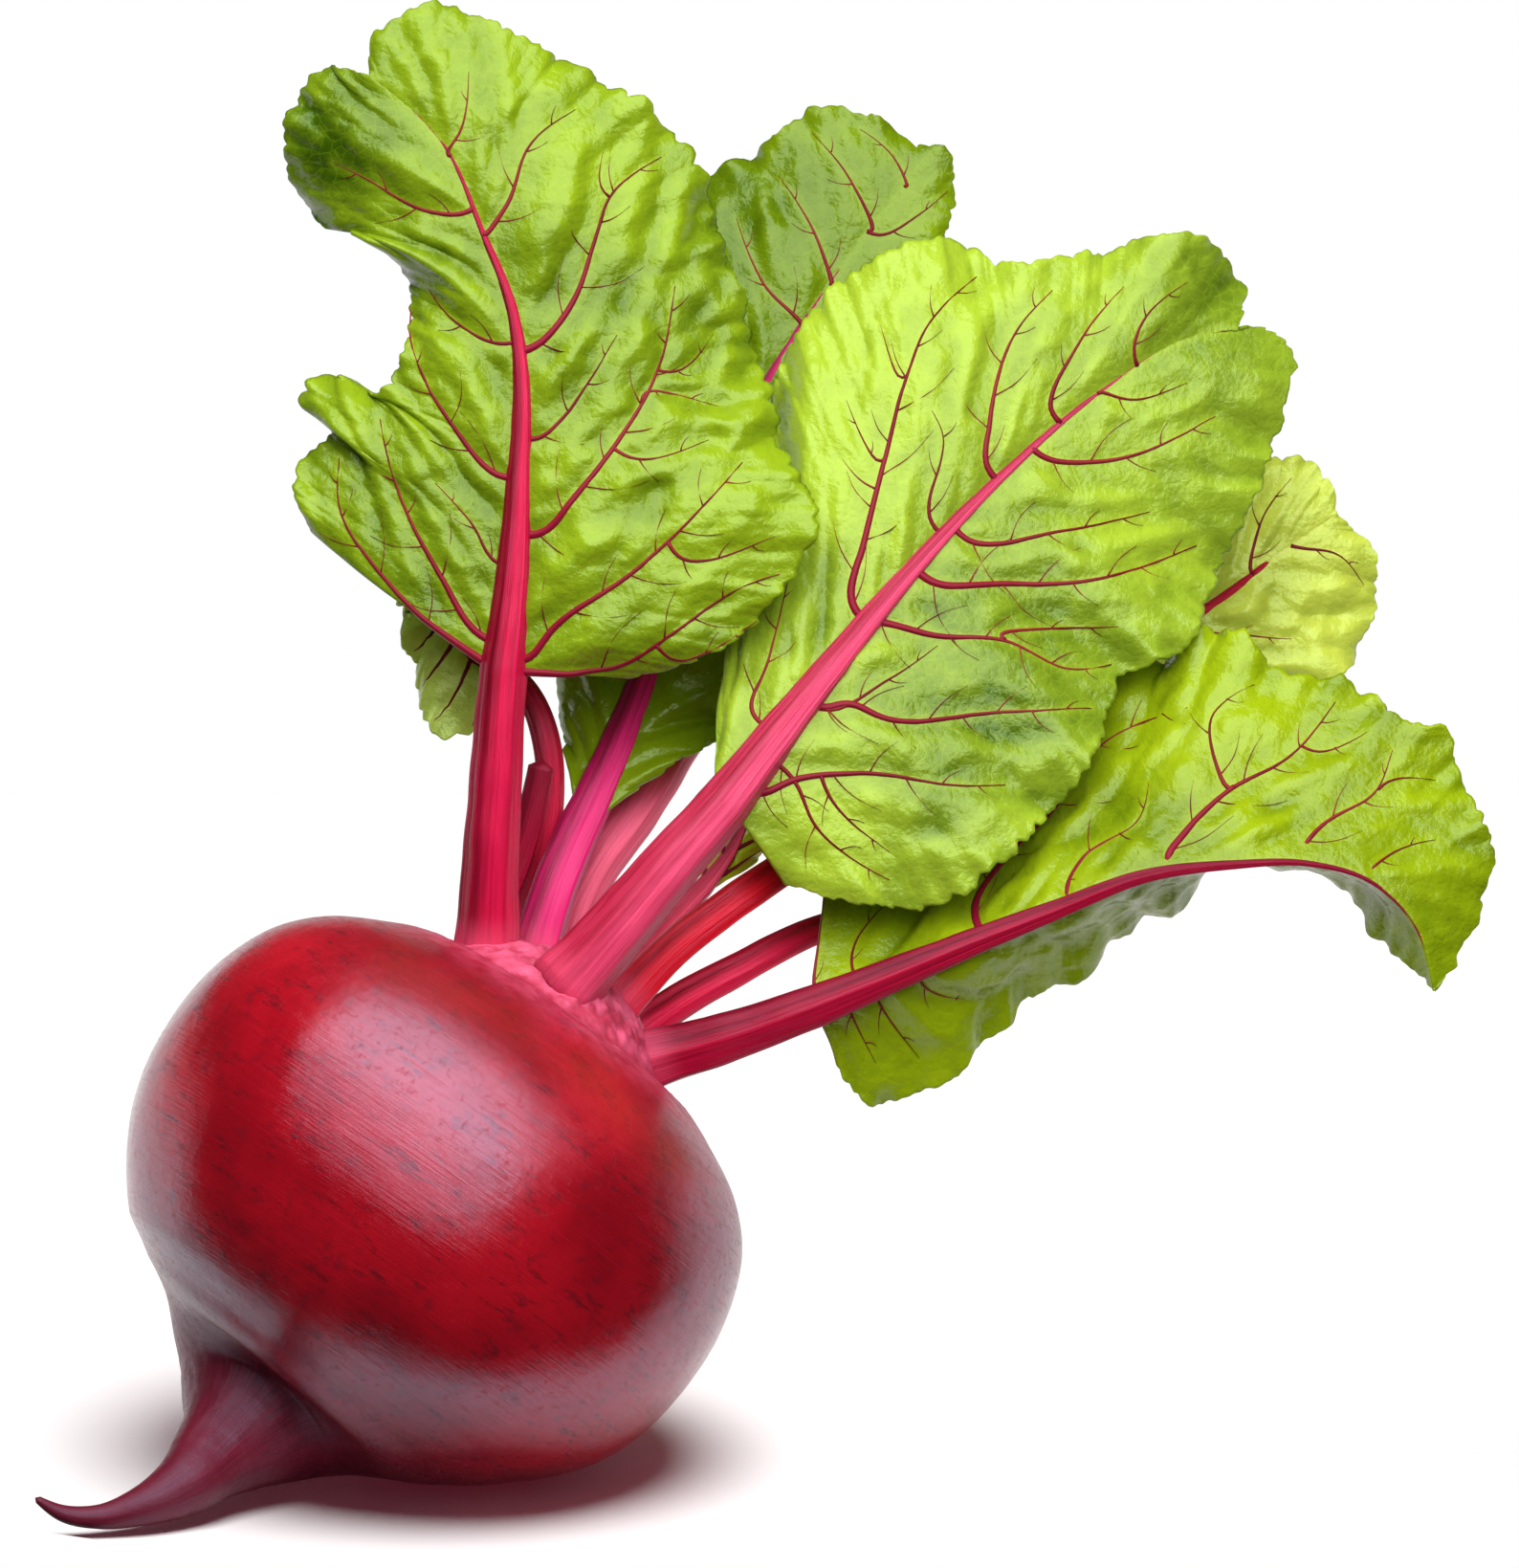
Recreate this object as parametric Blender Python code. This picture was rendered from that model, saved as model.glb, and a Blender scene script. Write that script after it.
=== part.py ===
"""A beetroot as picked: a round swollen root with a thin tail, and nine leaves on its crown.

A short stalk that has lost its leaf stands among them.

The root stands on a small flat spot under its belly. Each leaf is two solids: a red stalk, which
runs on as the midrib, and a green blade that the midrib lies in.

Places are written as (right, up, back) in millimetres from the front of the flat spot, in axes
that lean back by LEAN, because the leaves fan out close to that plane. The part's own frame has
its origin in the middle of the flat spot and +Z up.
"""

import math
from dataclasses import dataclass

import bmesh
import bpy
import numpy as np

MM = 0.001
LEAN = math.radians(12.0)
FLAT_SPOT = (0.0, 4.0, 0.0)
LEANING = np.array(
    (
        (1.0, 0.0, 0.0),
        (0.0, math.sin(LEAN), math.cos(LEAN)),
        (0.0, math.cos(LEAN), -math.sin(LEAN)),
    )
)

# The root: a body of revolution on a tilted axis, then a tail that bends down and comes forward.
ROOT_CENTRE = (-4.6, 36.1, -6.4)
ROOT_AXIS = (0.57, 0.82, 0.10)
CROWN_RADIUS = 16.4
CROWN_FOOT = 29.0
CROWN_TOP = 36.8
BELLY = (  # distance along the axis towards the crown, radius
    (29.0, 16.4), (28.2, 20.6), (25.6, 26.7), (22.4, 32.2), (16.5, 37.6), (12.0, 39.6), (6.0, 41.0),
    (0.0, 41.2), (-8.7, 40.0), (-16.4, 36.8),
)
TAIL = (  # right, up, back, radius
    (-17.8, 17.9, -8.4, 31.9), (-21.9, 13.9, -8.8, 24.4), (-25.1, 10.8, -9.4, 16.8),
    (-27.2, 8.4, -11.5, 11.8), (-29.5, 5.9, -15.5, 8.2), (-32.4, 3.3, -19.5, 5.9),
    (-36.0, 0.0, -24.5, 4.1), (-41.0, -2.4, -28.0, 2.6), (-46.5, -3.7, -29.5, 1.6),
    (-51.1, -3.2, -30.5, 1.1), (-54.2, -1.4, -31.5, 0.5),
)
NECK = (24.0, 42.0)  # how far below the centre the rings begin and end to turn into the tail
ROOT_SIDES = 30
CROWN_RINGS = 5
BELLY_RINGS = 29
GROUND_CUTTER = (0.3, 0.3, 0.02)

BLADE_THICKNESS = 0.8
GAP = 0.35
RIB_ROWS_SHORT = 3
STALK_SIDES = 8
STALK_RINGS = 6
FINE_STEPS = 16
STALK_DEPTH = 0.85
CHANNEL = 0.35
RIB_TAPER = 1.4
SETTLE_ROUNDS = 20
SETTLE_SHARE = 0.7


@dataclass
class Leaf:
    """One leaf. Its edges run from the basal corners of the blade to the tip."""

    name: str
    seat: tuple  # across and behind the crown's centre
    stalk: tuple  # points between the crown and the blade
    rib: tuple  # points from the blade's base to its tip
    left: tuple
    right: tuple
    girth: tuple  # half widths at the crown, at the blade's base and at the rib's end
    rows: int
    columns: int
    bulge: tuple  # how far the left and right halves arch, as a share of their width
    ripples: tuple  # number of waves along the edge, and their height
    channel_side: int  # 1 where the channelled upper side faces back, -1 where it faces forward


LEAVES = (
    Leaf(
        name="tall_left",
        seat=(-13.3, -2.5),
        stalk=((3.0, 80.1, -7.5), (3.8, 92.5, -8.5)),
        rib=(
            (4.7, 104.9, -9.0), (6.1, 117.3, -9.0), (6.8, 129.8, -8.5), (7.1, 142.2, -7.5),
            (5.7, 152.2, -6.0), (2.0, 161.8, -4.5), (-3.5, 173.9, -2.5), (-12.8, 182.5, 0.0),
        ),
        left=(
            (-20.3, 123.0, -1.0), (-22.0, 132.5, 1.0), (-18.6, 136.5, 0.5), (-21.6, 140.1, 3.0),
            (-18.1, 143.5, 3.0), (-11.4, 140.9, -2.0), (-7.9, 146.9, -1.5), (-14.1, 162.2, 3.0),
            (-20.7, 163.8, 6.0), (-23.9, 171.9, 7.0), (-20.5, 183.3, 5.0), (-12.8, 182.5, 0.0),
        ),
        right=(
            (21.1, 103.9, -8.0), (36.0, 109.4, -9.0), (42.5, 116.8, -9.0), (45.7, 124.8, -8.0),
            (40.5, 134.4, -4.0), (39.0, 143.0, -1.0), (33.4, 160.1, 2.0), (31.6, 168.2, 3.0),
            (20.6, 179.7, 3.0), (6.9, 187.6, 2.0), (-6.4, 191.7, 3.0), (-12.5, 187.6, 2.0),
            (-12.8, 182.5, 0.0),
        ),
        girth=(3.8, 3.0, 0.5),
        rows=24,
        columns=5,
        bulge=(0.10, 0.08),
        ripples=(5.0, 1.4),
        channel_side=1,
    ),
    Leaf(
        name="broad_front",
        seat=(-1.4, -11.0),
        stalk=((20.2, 72.2, -15.0), (26.4, 79.5, -15.0)),
        rib=(
            (33.5, 87.5, -14.0), (38.8, 94.4, -12.0), (45.0, 102.2, -9.0), (51.2, 109.9, -6.0),
            (57.5, 117.4, -3.0), (70.1, 130.7, 3.0), (82.8, 141.6, 8.0), (95.5, 149.1, 13.0),
            (101.0, 150.0, 15.0),
        ),
        left=(
            (34.4, 106.0, 1.0), (36.3, 117.6, 6.0), (38.8, 134.1, 10.0), (40.5, 144.0, 12.0),
            (46.1, 153.5, 12.0), (54.5, 159.9, 13.0), (65.3, 162.0, 13.5), (69.9, 158.6, 13.0),
            (83.0, 160.7, 15.0), (92.6, 162.9, 16.0), (99.3, 160.3, 18.0), (102.3, 155.3, 19.0),
            (101.0, 150.0, 15.0),
        ),
        right=(
            (41.3, 77.1, -10.0), (47.4, 75.1, -10.0), (61.8, 74.6, -11.0), (71.3, 81.5, -9.0),
            (82.5, 95.0, -3.0), (85.2, 103.5, 1.0), (93.0, 107.3, 4.0), (97.0, 113.8, 8.0),
            (101.5, 123.9, 13.0), (104.6, 130.4, 13.0), (107.5, 139.6, 15.0), (108.3, 147.7, 18.0),
            (104.8, 150.5, 17.0), (101.0, 150.0, 15.0),
        ),
        girth=(4.3, 3.3, 0.5),
        rows=24,
        columns=5,
        bulge=(0.08, 0.03),
        ripples=(6.0, 1.5),
        channel_side=1,
    ),
    Leaf(
        name="tall_rear",
        seat=(-7.5, 3.0),
        stalk=((11.0, 76.0, 1.0),),
        rib=(
            (14.9, 85.3, 4.5), (18.7, 93.8, 8.0), (22.2, 102.6, 12.0), (26.2, 114.1, 17.0),
            (31.8, 129.4, 22.0), (40.0, 145.4, 27.0), (49.0, 159.0, 31.0), (56.7, 169.3, 33.0),
            (62.6, 175.5, 34.0),
        ),
        left=(
            (14.2, 90.4, 8.5), (12.1, 96.5, 13.0), (12.4, 108.2, 20.0), (18.5, 123.1, 26.0),
            (24.7, 143.7, 32.0),
            (26.7, 159.2, 36.0), (30.6, 171.1, 38.0), (38.8, 176.0, 38.0), (45.2, 180.3, 38.0),
            (52.4, 179.8, 37.0), (59.0, 175.6, 36.0), (62.6, 175.5, 34.0),
        ),
        right=(
            (20.6, 88.6, 6.0), (27.1, 92.3, 8.0), (31.0, 94.4, 10.5), (36.0, 104.0, 14.0),
            (38.8, 117.8, 18.0), (45.1, 133.2, 24.0),
            (54.1, 147.4, 29.0), (61.0, 158.5, 32.0), (63.8, 166.8, 34.0), (64.4, 173.0, 34.5),
            (62.6, 175.5, 34.0),
        ),
        girth=(2.9, 2.8, 0.5),
        rows=22,
        columns=5,
        bulge=(0.08, 0.06),
        ripples=(5.0, 1.3),
        channel_side=-1,
    ),
    Leaf(
        name="low_right",
        seat=(13.3, -3.0),
        stalk=((36.3, 57.9, -8.0),),
        rib=(
            (45.0, 61.1, -9.0), (54.9, 65.1, -10.0), (63.6, 68.7, -11.0), (76.0, 73.6, -12.0),
            (88.3, 78.2, -13.0), (99.4, 79.6, -13.0), (109.4, 79.7, -12.0), (116.9, 77.6, -11.0),
            (122.5, 72.6, -10.0), (125.7, 63.2, -8.5),
        ),
        left=(
            (46.5, 76.5, -1.0), (58.0, 79.0, 2.0), (68.0, 88.0, 9.0), (77.0, 98.0, 13.0),
            (84.3, 105.0, 13.0), (89.5, 106.8, 11.0), (94.5, 110.6, 9.0), (101.4, 109.0, 5.0),
            (106.5, 105.0, 2.0), (115.1, 104.0, 2.0), (122.0, 97.7, 0.0), (127.0, 97.0, 0.0),
            (130.7, 89.0, -2.0), (133.2, 80.0, -3.0), (131.2, 71.6, -5.0), (125.7, 63.2, -8.5),
        ),
        right=(
            (47.3, 56.6, -5.0), (51.9, 48.5, -2.0), (61.3, 50.9, 0.0), (68.8, 58.5, 2.0),
            (78.2, 65.9, 4.0), (84.6, 69.3, 6.0), (94.2, 77.4, 9.0), (104.3, 78.4, 10.0),
            (114.3, 76.9, 6.0), (117.1, 73.0, 2.0), (119.9, 68.8, -2.0), (125.7, 63.2, -8.5),
        ),
        girth=(3.7, 2.9, 0.45),
        rows=26,
        columns=5,
        bulge=(-0.02, -0.06),
        ripples=(6.0, 1.2),
        channel_side=1,
    ),
    Leaf(
        name="far_right",
        seat=(5.8, -3.0),
        stalk=(
            (26.3, 68.2, -5.0), (33.8, 74.1, -3.0), (41.9, 79.6, 0.5), (57.7, 91.3, 14.0),
            (76.9, 102.7, 24.0),
        ),
        rib=((85.9, 107.8, 28.0), (98.8, 114.3, 31.0), (106.5, 120.1, 32.0), (115.1, 126.1, 33.0)),
        left=(
            (89.1, 119.6, 31.0), (96.4, 128.4, 34.0), (104.6, 133.1, 36.0), (110.8, 133.6, 36.0),
            (114.6, 129.4, 34.0), (115.1, 126.1, 33.0),
        ),
        right=(
            (93.7, 99.7, 31.0), (102.8, 99.7, 33.0), (113.7, 104.3, 35.0), (119.8, 112.0, 36.0),
            (120.2, 120.7, 35.0), (115.1, 126.1, 33.0),
        ),
        girth=(2.5, 1.7, 0.4),
        rows=14,
        columns=4,
        bulge=(0.08, 0.08),
        ripples=(3.0, 1.0),
        channel_side=-1,
    ),
    Leaf(
        name="mid_right",
        seat=(9.2, 7.0),
        stalk=((28.8, 62.4, 4.0), (36.3, 66.4, 5.0), (42.8, 69.8, 7.0), (55.0, 74.0, 11.0)),
        rib=(
            (65.0, 78.5, 15.0), (72.5, 83.5, 17.5), (80.0, 89.5, 19.5), (87.0, 94.5, 21.0),
            (94.0, 98.5, 22.0),
        ),
        left=(
            (66.0, 86.0, 16.0), (74.5, 95.0, 19.5), (83.0, 101.0, 22.0), (90.0, 102.5, 23.0),
            (94.0, 98.5, 22.0),
        ),
        right=(
            (72.0, 77.5, 15.5), (81.0, 80.5, 17.5), (89.0, 86.5, 20.0), (94.0, 92.5, 21.5),
            (94.0, 98.5, 22.0),
        ),
        girth=(2.5, 1.3, 0.4),
        rows=12,
        columns=3,
        bulge=(0.06, 0.06),
        ripples=(2.0, 0.6),
        channel_side=-1,
    ),
    Leaf(
        name="behind_front",
        seat=(-3.0, 10.0),
        stalk=((13.5, 73.7, 9.0), (16.8, 80.2, 10.5), (21.9, 87.3, 13.0), (27.9, 97.1, 18.0)),
        rib=(
            (35.6, 106.6, 22.0), (42.6, 118.0, 28.0), (49.2, 128.3, 32.0), (54.9, 136.1, 35.0),
            (61.2, 143.9, 37.0),
        ),
        left=(
            (36.0, 118.6, 30.0), (40.1, 131.0, 36.0), (46.2, 142.4, 40.0), (54.5, 148.1, 41.0),
            (61.2, 143.9, 37.0),
        ),
        right=(
            (47.7, 106.3, 26.0), (56.9, 112.4, 29.0), (64.6, 123.3, 33.0), (66.2, 134.9, 35.0),
            (61.2, 143.9, 37.0),
        ),
        girth=(3.3, 3.2, 0.45),
        rows=14,
        columns=4,
        bulge=(0.08, 0.08),
        ripples=(3.0, 1.0),
        channel_side=-1,
    ),
    Leaf(
        name="small_left",
        seat=(-11.3, 8.0),
        stalk=((8.2, 76.5, 6.5), (10.2, 86.0, 6.3), (10.2, 94.5, 6.3), (7.6, 101.8, 6.8)),
        rib=(
            (3.4, 105.6, 7.5), (-0.5, 108.2, 8.5), (-3.6, 112.0, 9.8), (-5.8, 116.8, 10.8),
            (-7.0, 122.0, 11.5),
        ),
        left=(
            (2.6, 99.0, 7.5), (0.0, 96.2, 8.2), (-4.4, 96.4, 9.0), (-7.2, 101.5, 10.0),
            (-8.0, 108.0, 11.0), (-9.6, 115.0, 11.5), (-7.0, 122.0, 11.5),
        ),
        right=(
            (5.6, 109.5, 8.5), (4.2, 115.5, 9.8), (0.6, 120.8, 10.8), (-3.6, 123.4, 11.4),
            (-7.0, 122.0, 11.5),
        ),
        girth=(2.2, 1.6, 0.4),
        rows=14,
        columns=3,
        bulge=(0.08, 0.08),
        ripples=(3.0, 0.8),
        channel_side=-1,
    ),
    Leaf(
        name="young",
        seat=(2.2, 3.8),
        stalk=((24.5, 70.2, 1.5),),
        rib=(
            (30.6, 76.4, 3.6), (34.2, 81.3, 5.2), (36.9, 87.5, 7.0), (40.5, 95.0, 9.0),
            (46.1, 101.6, 12.0),
        ),
        left=(
            (30.6, 81.0, 5.0), (33.0, 87.5, 6.5), (36.5, 94.5, 8.5), (40.5, 100.1, 11.0),
            (46.1, 101.6, 12.0),
        ),
        right=(
            (36.6, 79.2, 6.4), (40.4, 82.8, 7.5), (43.8, 86.5, 8.0), (46.6, 92.0, 9.5),
            (48.1, 98.1, 11.0), (46.1, 101.6, 12.0),
        ),
        girth=(1.8, 1.3, 0.4),
        rows=12,
        columns=3,
        bulge=(0.06, 0.06),
        ripples=(2.0, 0.5),
        channel_side=-1,
    ),
)


STUB_SEAT = (-14.2, 4.4)
STUB_PATH = ((6.2, 80.0, 1.6), (8.2, 86.5, 1.4), (9.4, 92.3, 1.2))
STUB_GIRTH = (2.2, 1.7)
STUB_RINGS = 6


def world(points):
    """Places in the leaning axes, as points in the part's own frame, in millimetres."""
    return np.asarray(points, float) @ LEANING - FLAT_SPOT


def unit(vectors):
    return vectors / np.linalg.norm(vectors, axis=-1, keepdims=True)


def smooth(points):
    """A dense smooth curve through the points, which may carry more columns than a place."""
    p = np.asarray(points, float)
    if len(p) == 2:
        return p[0] + np.linspace(0, 1, FINE_STEPS)[:, None] * (p[1] - p[0])
    gaps = np.linalg.norm(np.diff(p, axis=0), axis=1)
    slopes = np.empty_like(p)
    steps = np.diff(p, axis=0) / gaps[:, None]
    share = (gaps[:-1] / (gaps[:-1] + gaps[1:]))[:, None]
    slopes[1:-1] = steps[:-1] * (1 - share) + steps[1:] * share
    slopes[0] = 1.5 * steps[0] - 0.5 * slopes[1]
    slopes[-1] = 1.5 * steps[-1] - 0.5 * slopes[-2]
    t = np.linspace(0, 1, FINE_STEPS, endpoint=False)[:, None]
    spans = [
        (2 * t**3 - 3 * t**2 + 1) * p[i]
        + (t**3 - 2 * t**2 + t) * gaps[i] * slopes[i]
        + (3 * t**2 - 2 * t**3) * p[i + 1]
        + (t**3 - t**2) * gaps[i] * slopes[i + 1]
        for i in range(len(gaps))
    ]
    return np.vstack(spans + [p[-1:]])


def sampled(points, shares):
    """The smooth curve through the points, at these shares of its length."""
    curve = smooth(points)
    along = np.concatenate(([0.0], np.cumsum(np.linalg.norm(np.diff(curve, axis=0), axis=1))))
    wanted = np.asarray(shares) * along[-1]
    return np.stack([np.interp(wanted, along, column) for column in curve.T], axis=1)


def tangents(points):
    return unit(np.gradient(points, axis=0))


def principled(name, colour, roughness):
    material = bpy.data.materials.new(name)
    material.use_nodes = True
    shader = material.node_tree.nodes["Principled BSDF"]
    shader.inputs["Base Color"].default_value = (*colour, 1.0)
    shader.inputs["Roughness"].default_value = roughness
    shader.inputs["Metallic"].default_value = 0.0
    return material


def add_object(name, points, faces, material):
    """A mesh object from points in millimetres."""
    mesh = bpy.data.meshes.new(name)
    mesh.from_pydata((np.asarray(points) * MM).tolist(), [], faces)
    shape = bmesh.new()
    shape.from_mesh(mesh)
    bmesh.ops.recalc_face_normals(shape, faces=shape.faces)
    shape.to_mesh(mesh)
    shape.free()
    mesh.materials.append(material)
    mesh.shade_smooth()
    made = bpy.data.objects.new(name, mesh)
    bpy.context.scene.collection.objects.link(made)
    return made


def skin(rings, first_point, last_point):
    """Points and faces of a closed skin over rings of equal size, with a point at each end."""
    count, sides = rings.shape[:2]
    points = np.vstack([rings.reshape(-1, 3), first_point, last_point])
    faces = []
    for side in range(sides):
        following = (side + 1) % sides
        for ring in range(count - 1):
            low, high = ring * sides, (ring + 1) * sides
            faces.append((low + side, low + following, high + following, high + side))
        faces.append((following, side, count * sides))
        top = (count - 1) * sides
        faces.append((top + side, top + following, count * sides + 1))
    return points, faces


def root_axes():
    """The root's centre, its axis towards the crown, and the directions across and behind."""
    axis = unit(np.array(ROOT_AXIS) @ LEANING)
    back = LEANING[2]
    behind = unit(back - axis * (back @ axis))
    return world(ROOT_CENTRE), axis, np.cross(behind, axis), behind


def crown_height(radius):
    """How far along the axis the crown's dome stands, this far from the axis."""
    return CROWN_TOP - (CROWN_TOP - CROWN_FOOT) * (radius / CROWN_RADIUS) ** 2


def root_stations():
    """Centres and radii of the root's rings, from the crown to the tail's tip."""
    centre, axis, _, _ = root_axes()
    dome_radii = CROWN_RADIUS * np.arange(1, CROWN_RINGS) / CROWN_RINGS
    dome = np.array([(*(centre + axis * crown_height(r)), r) for r in dome_radii])
    belly = [(*(centre + axis * height), radius) for height, radius in BELLY]
    tail = [(*world(place), radius) for *place, radius in TAIL]
    return np.vstack([dome, sampled(belly + tail, np.linspace(0, 1, BELLY_RINGS))])


def make_root(material):
    """The swollen root with its crown and tail, cut flat where it stands."""
    centre, axis, across, behind = root_axes()
    stations = root_stations()
    places, radii = stations[:, :3], stations[:, 3]
    angle = np.linspace(0, 2 * math.pi, ROOT_SIDES, endpoint=False)
    rings = []
    for place, radius, along in zip(places, radii, tangents(places)):
        turn = np.clip(((centre - place) @ axis - NECK[0]) / (NECK[1] - NECK[0]), 0, 1)
        heading = unit(along * turn - axis * (1 - turn))
        across = unit(across - heading * (across @ heading))
        sideways = np.cross(across, heading)
        rings.append(place + radius * (np.outer(np.cos(angle), across) + np.outer(np.sin(angle), sideways)))
    top = centre + axis * CROWN_TOP
    tip = places[-1] + heading * radii[-1]
    points, faces = skin(np.array(rings), top, tip)
    root = add_object("root", points, faces, material)
    cut_flat(root)
    return root


def cut_flat(root):
    """Takes away what lies under the ground, which leaves the small flat spot."""
    bpy.ops.mesh.primitive_cube_add(size=1.0)
    ground = bpy.context.active_object
    ground.name = "ground_cutter"
    ground.scale = GROUND_CUTTER
    ground.location = (0.0, 0.0, -GROUND_CUTTER[2] / 2)
    bpy.ops.object.transform_apply(location=True, scale=True)
    ground.hide_render = True
    ground.display_type = "WIRE"
    cut = root.modifiers.new("flat_spot", "BOOLEAN")
    cut.operation = "DIFFERENCE"
    cut.object = ground


def seat_point(leaf):
    """The middle of the leaf's foot on the crown's dome."""
    centre, axis, across, behind = root_axes()
    height = crown_height(math.hypot(*leaf.seat))
    return centre + axis * height + across * leaf.seat[0] + behind * leaf.seat[1]


def blade_shares(leaf):
    """Shares of the rib's length where the blade has its rows."""
    return np.linspace(0, 1, leaf.rows + 1)


def rib_girth(leaf, shares):
    """Half widths of the midrib along the blade."""
    _, base, end = leaf.girth
    rib_end = 1 - RIB_ROWS_SHORT / leaf.rows
    return end + (base - end) * np.clip(1 - shares / rib_end, 0, 1) ** RIB_TAPER


def onto_crown(points, direction):
    """The points moved along the direction until they stand a gap above the crown's dome."""
    centre, axis, _, _ = root_axes()
    moved = points.copy()
    for _ in range(SETTLE_ROUNDS):
        rise = (moved - centre) @ axis
        out = np.linalg.norm(moved - centre - np.outer(rise, axis), axis=1)
        short = crown_height(out) + GAP - rise
        moved += np.outer(short, direction) * SETTLE_SHARE
    return moved


def section(channel):
    """The stalk's cross section, as shares of its half width across and of its half depth."""
    angle = np.linspace(0, 2 * math.pi, STALK_SIDES, endpoint=False)
    hollow = 1 - channel * np.clip(np.sin(angle), 0, 1) ** 4
    return np.cos(angle), np.sin(angle) * hollow


def make_stalk(leaf, material):
    """The leaf's stalk and its midrib, one tapering rod from the crown to near the tip."""
    ribbed = blade_shares(leaf)[: leaf.rows + 1 - RIB_ROWS_SHORT]
    rib = sampled(world(leaf.rib), ribbed)
    left, right = sampled(world(leaf.left), ribbed), sampled(world(leaf.right), ribbed)
    seat = seat_point(leaf)
    foot = np.vstack([seat, world(leaf.stalk), rib[0]])
    lower = sampled(foot, np.linspace(0, 1, STALK_RINGS + 1))[:-1]
    centres = np.vstack([lower, rib])
    heading = tangents(centres)
    lower_widths = np.linspace(leaf.girth[0], leaf.girth[1], STALK_RINGS + 1)[:-1]
    widths = np.concatenate([lower_widths, rib_girth(leaf, ribbed)])
    sideways = np.vstack([np.repeat((right - left)[:1], STALK_RINGS, axis=0), right - left])
    sideways = unit(sideways - heading * np.sum(sideways * heading, axis=1, keepdims=True))
    facing = np.cross(sideways, heading) * -leaf.channel_side
    channels = np.where(np.arange(len(centres)) < STALK_RINGS, CHANNEL, CHANNEL / 2)
    rings = []
    for centre, width, side, face, channel in zip(centres, widths, sideways, facing, channels):
        u, v = section(channel)
        rings.append(centre + width * (np.outer(u, side) + np.outer(v * STALK_DEPTH, face)))
    rings = np.array(rings)
    direction = heading[0]
    rings[0] = onto_crown(rings[0], direction)
    middle = onto_crown(centres[:1], direction)
    tip = centres[-1] + heading[-1] * widths[-1]
    points, faces = skin(rings, middle, tip)
    return add_object("stalk_" + leaf.name, points, faces, material)


def make_stub(material):
    """A short stalk that has lost its leaf."""
    centre, axis, across, behind = root_axes()
    height = crown_height(math.hypot(*STUB_SEAT))
    seat = centre + axis * height + across * STUB_SEAT[0] + behind * STUB_SEAT[1]
    centres = sampled(np.vstack([seat, world(STUB_PATH)]), np.linspace(0, 1, STUB_RINGS))
    heading = tangents(centres)
    sideways = unit(np.cross(heading, LEANING[2]))
    facing = np.cross(sideways, heading)
    u, v = section(CHANNEL)
    rings = []
    for centre, width, side, face in zip(centres, np.linspace(*STUB_GIRTH, STUB_RINGS), sideways, facing):
        rings.append(centre + width * (np.outer(u, side) + np.outer(v * STALK_DEPTH, face)))
    rings = np.array(rings)
    rings[0] = onto_crown(rings[0], heading[0])
    middle = onto_crown(centres[:1], heading[0])
    points, faces = skin(rings, middle, centres[-1])
    return add_object("stalk_stub", points, faces, material)


def half_blade(leaf, edge, mirror, bulge, slot_rows):
    """One half of the blade's middle surface, as rows of points from the midrib to the edge."""
    shares = blade_shares(leaf)
    rib, rim = sampled(world(leaf.rib), shares), sampled(world(edge), shares)
    heading = tangents(rib)
    across = rim - rib
    across[-1] = across[-2]
    out = unit(across - heading * np.sum(across * heading, axis=1, keepdims=True))
    normal = np.cross(heading, out) * mirror
    clear = rib_girth(leaf, shares) + GAP
    clear[slot_rows - 1 :] = GAP / 2
    clear[slot_rows:] = 0.0
    inner = rib + out * clear[:, None]
    v = np.linspace(0, 1, leaf.columns + 1)[None, :, None]
    length = np.linalg.norm(rim - inner, axis=1)[:, None, None]
    count, height = leaf.ripples
    fade = np.sin(math.pi * np.clip(shares, 0, 1)) ** 0.5
    ripple = height * fade * np.sin(2 * math.pi * count * shares + mirror)
    lift = bulge * length * 4 * v * (1 - v) + ripple[:, None, None] * v**1.5
    return inner[:, None] * (1 - v) + rim[:, None] * v + normal[:, None] * lift


def make_blade(leaf, material):
    """The leaf's blade, a thin waved sheet with a slot in its middle for the midrib."""
    slot_rows = leaf.rows - 1
    left = half_blade(leaf, leaf.left, 1, leaf.bulge[0], slot_rows)
    right = half_blade(leaf, leaf.right, -1, leaf.bulge[1], slot_rows)
    rows, width = leaf.rows, leaf.columns + 1
    points, index = [], {}
    for row in range(rows):
        for column in range(2 * width):
            merged = row >= slot_rows and column == width
            if merged:
                index[row, column] = index[row, column - 1]
                continue
            half, place = (left, width - 1 - column) if column < width else (right, column - width)
            index[row, column] = len(points)
            points.append(half[row, place])
    tip = len(points)
    points.append(left[-1, 0])
    faces = []
    for column in range(2 * width - 1):
        if column == width - 1:
            continue
        for row in range(rows - 1):
            a, b = index[row, column], index[row, column + 1]
            c, d = index[row + 1, column + 1], index[row + 1, column]
            faces += [(a, b, c), (a, c, d)] if (row + column) % 2 else [(a, b, d), (b, c, d)]
        faces.append((index[rows - 1, column], index[rows - 1, column + 1], tip))
    blade = add_object("blade_" + leaf.name, points, faces, material)
    sheet = blade.modifiers.new("thickness", "SOLIDIFY")
    sheet.thickness = BLADE_THICKNESS * MM
    sheet.offset = 0.0
    return blade


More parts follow.
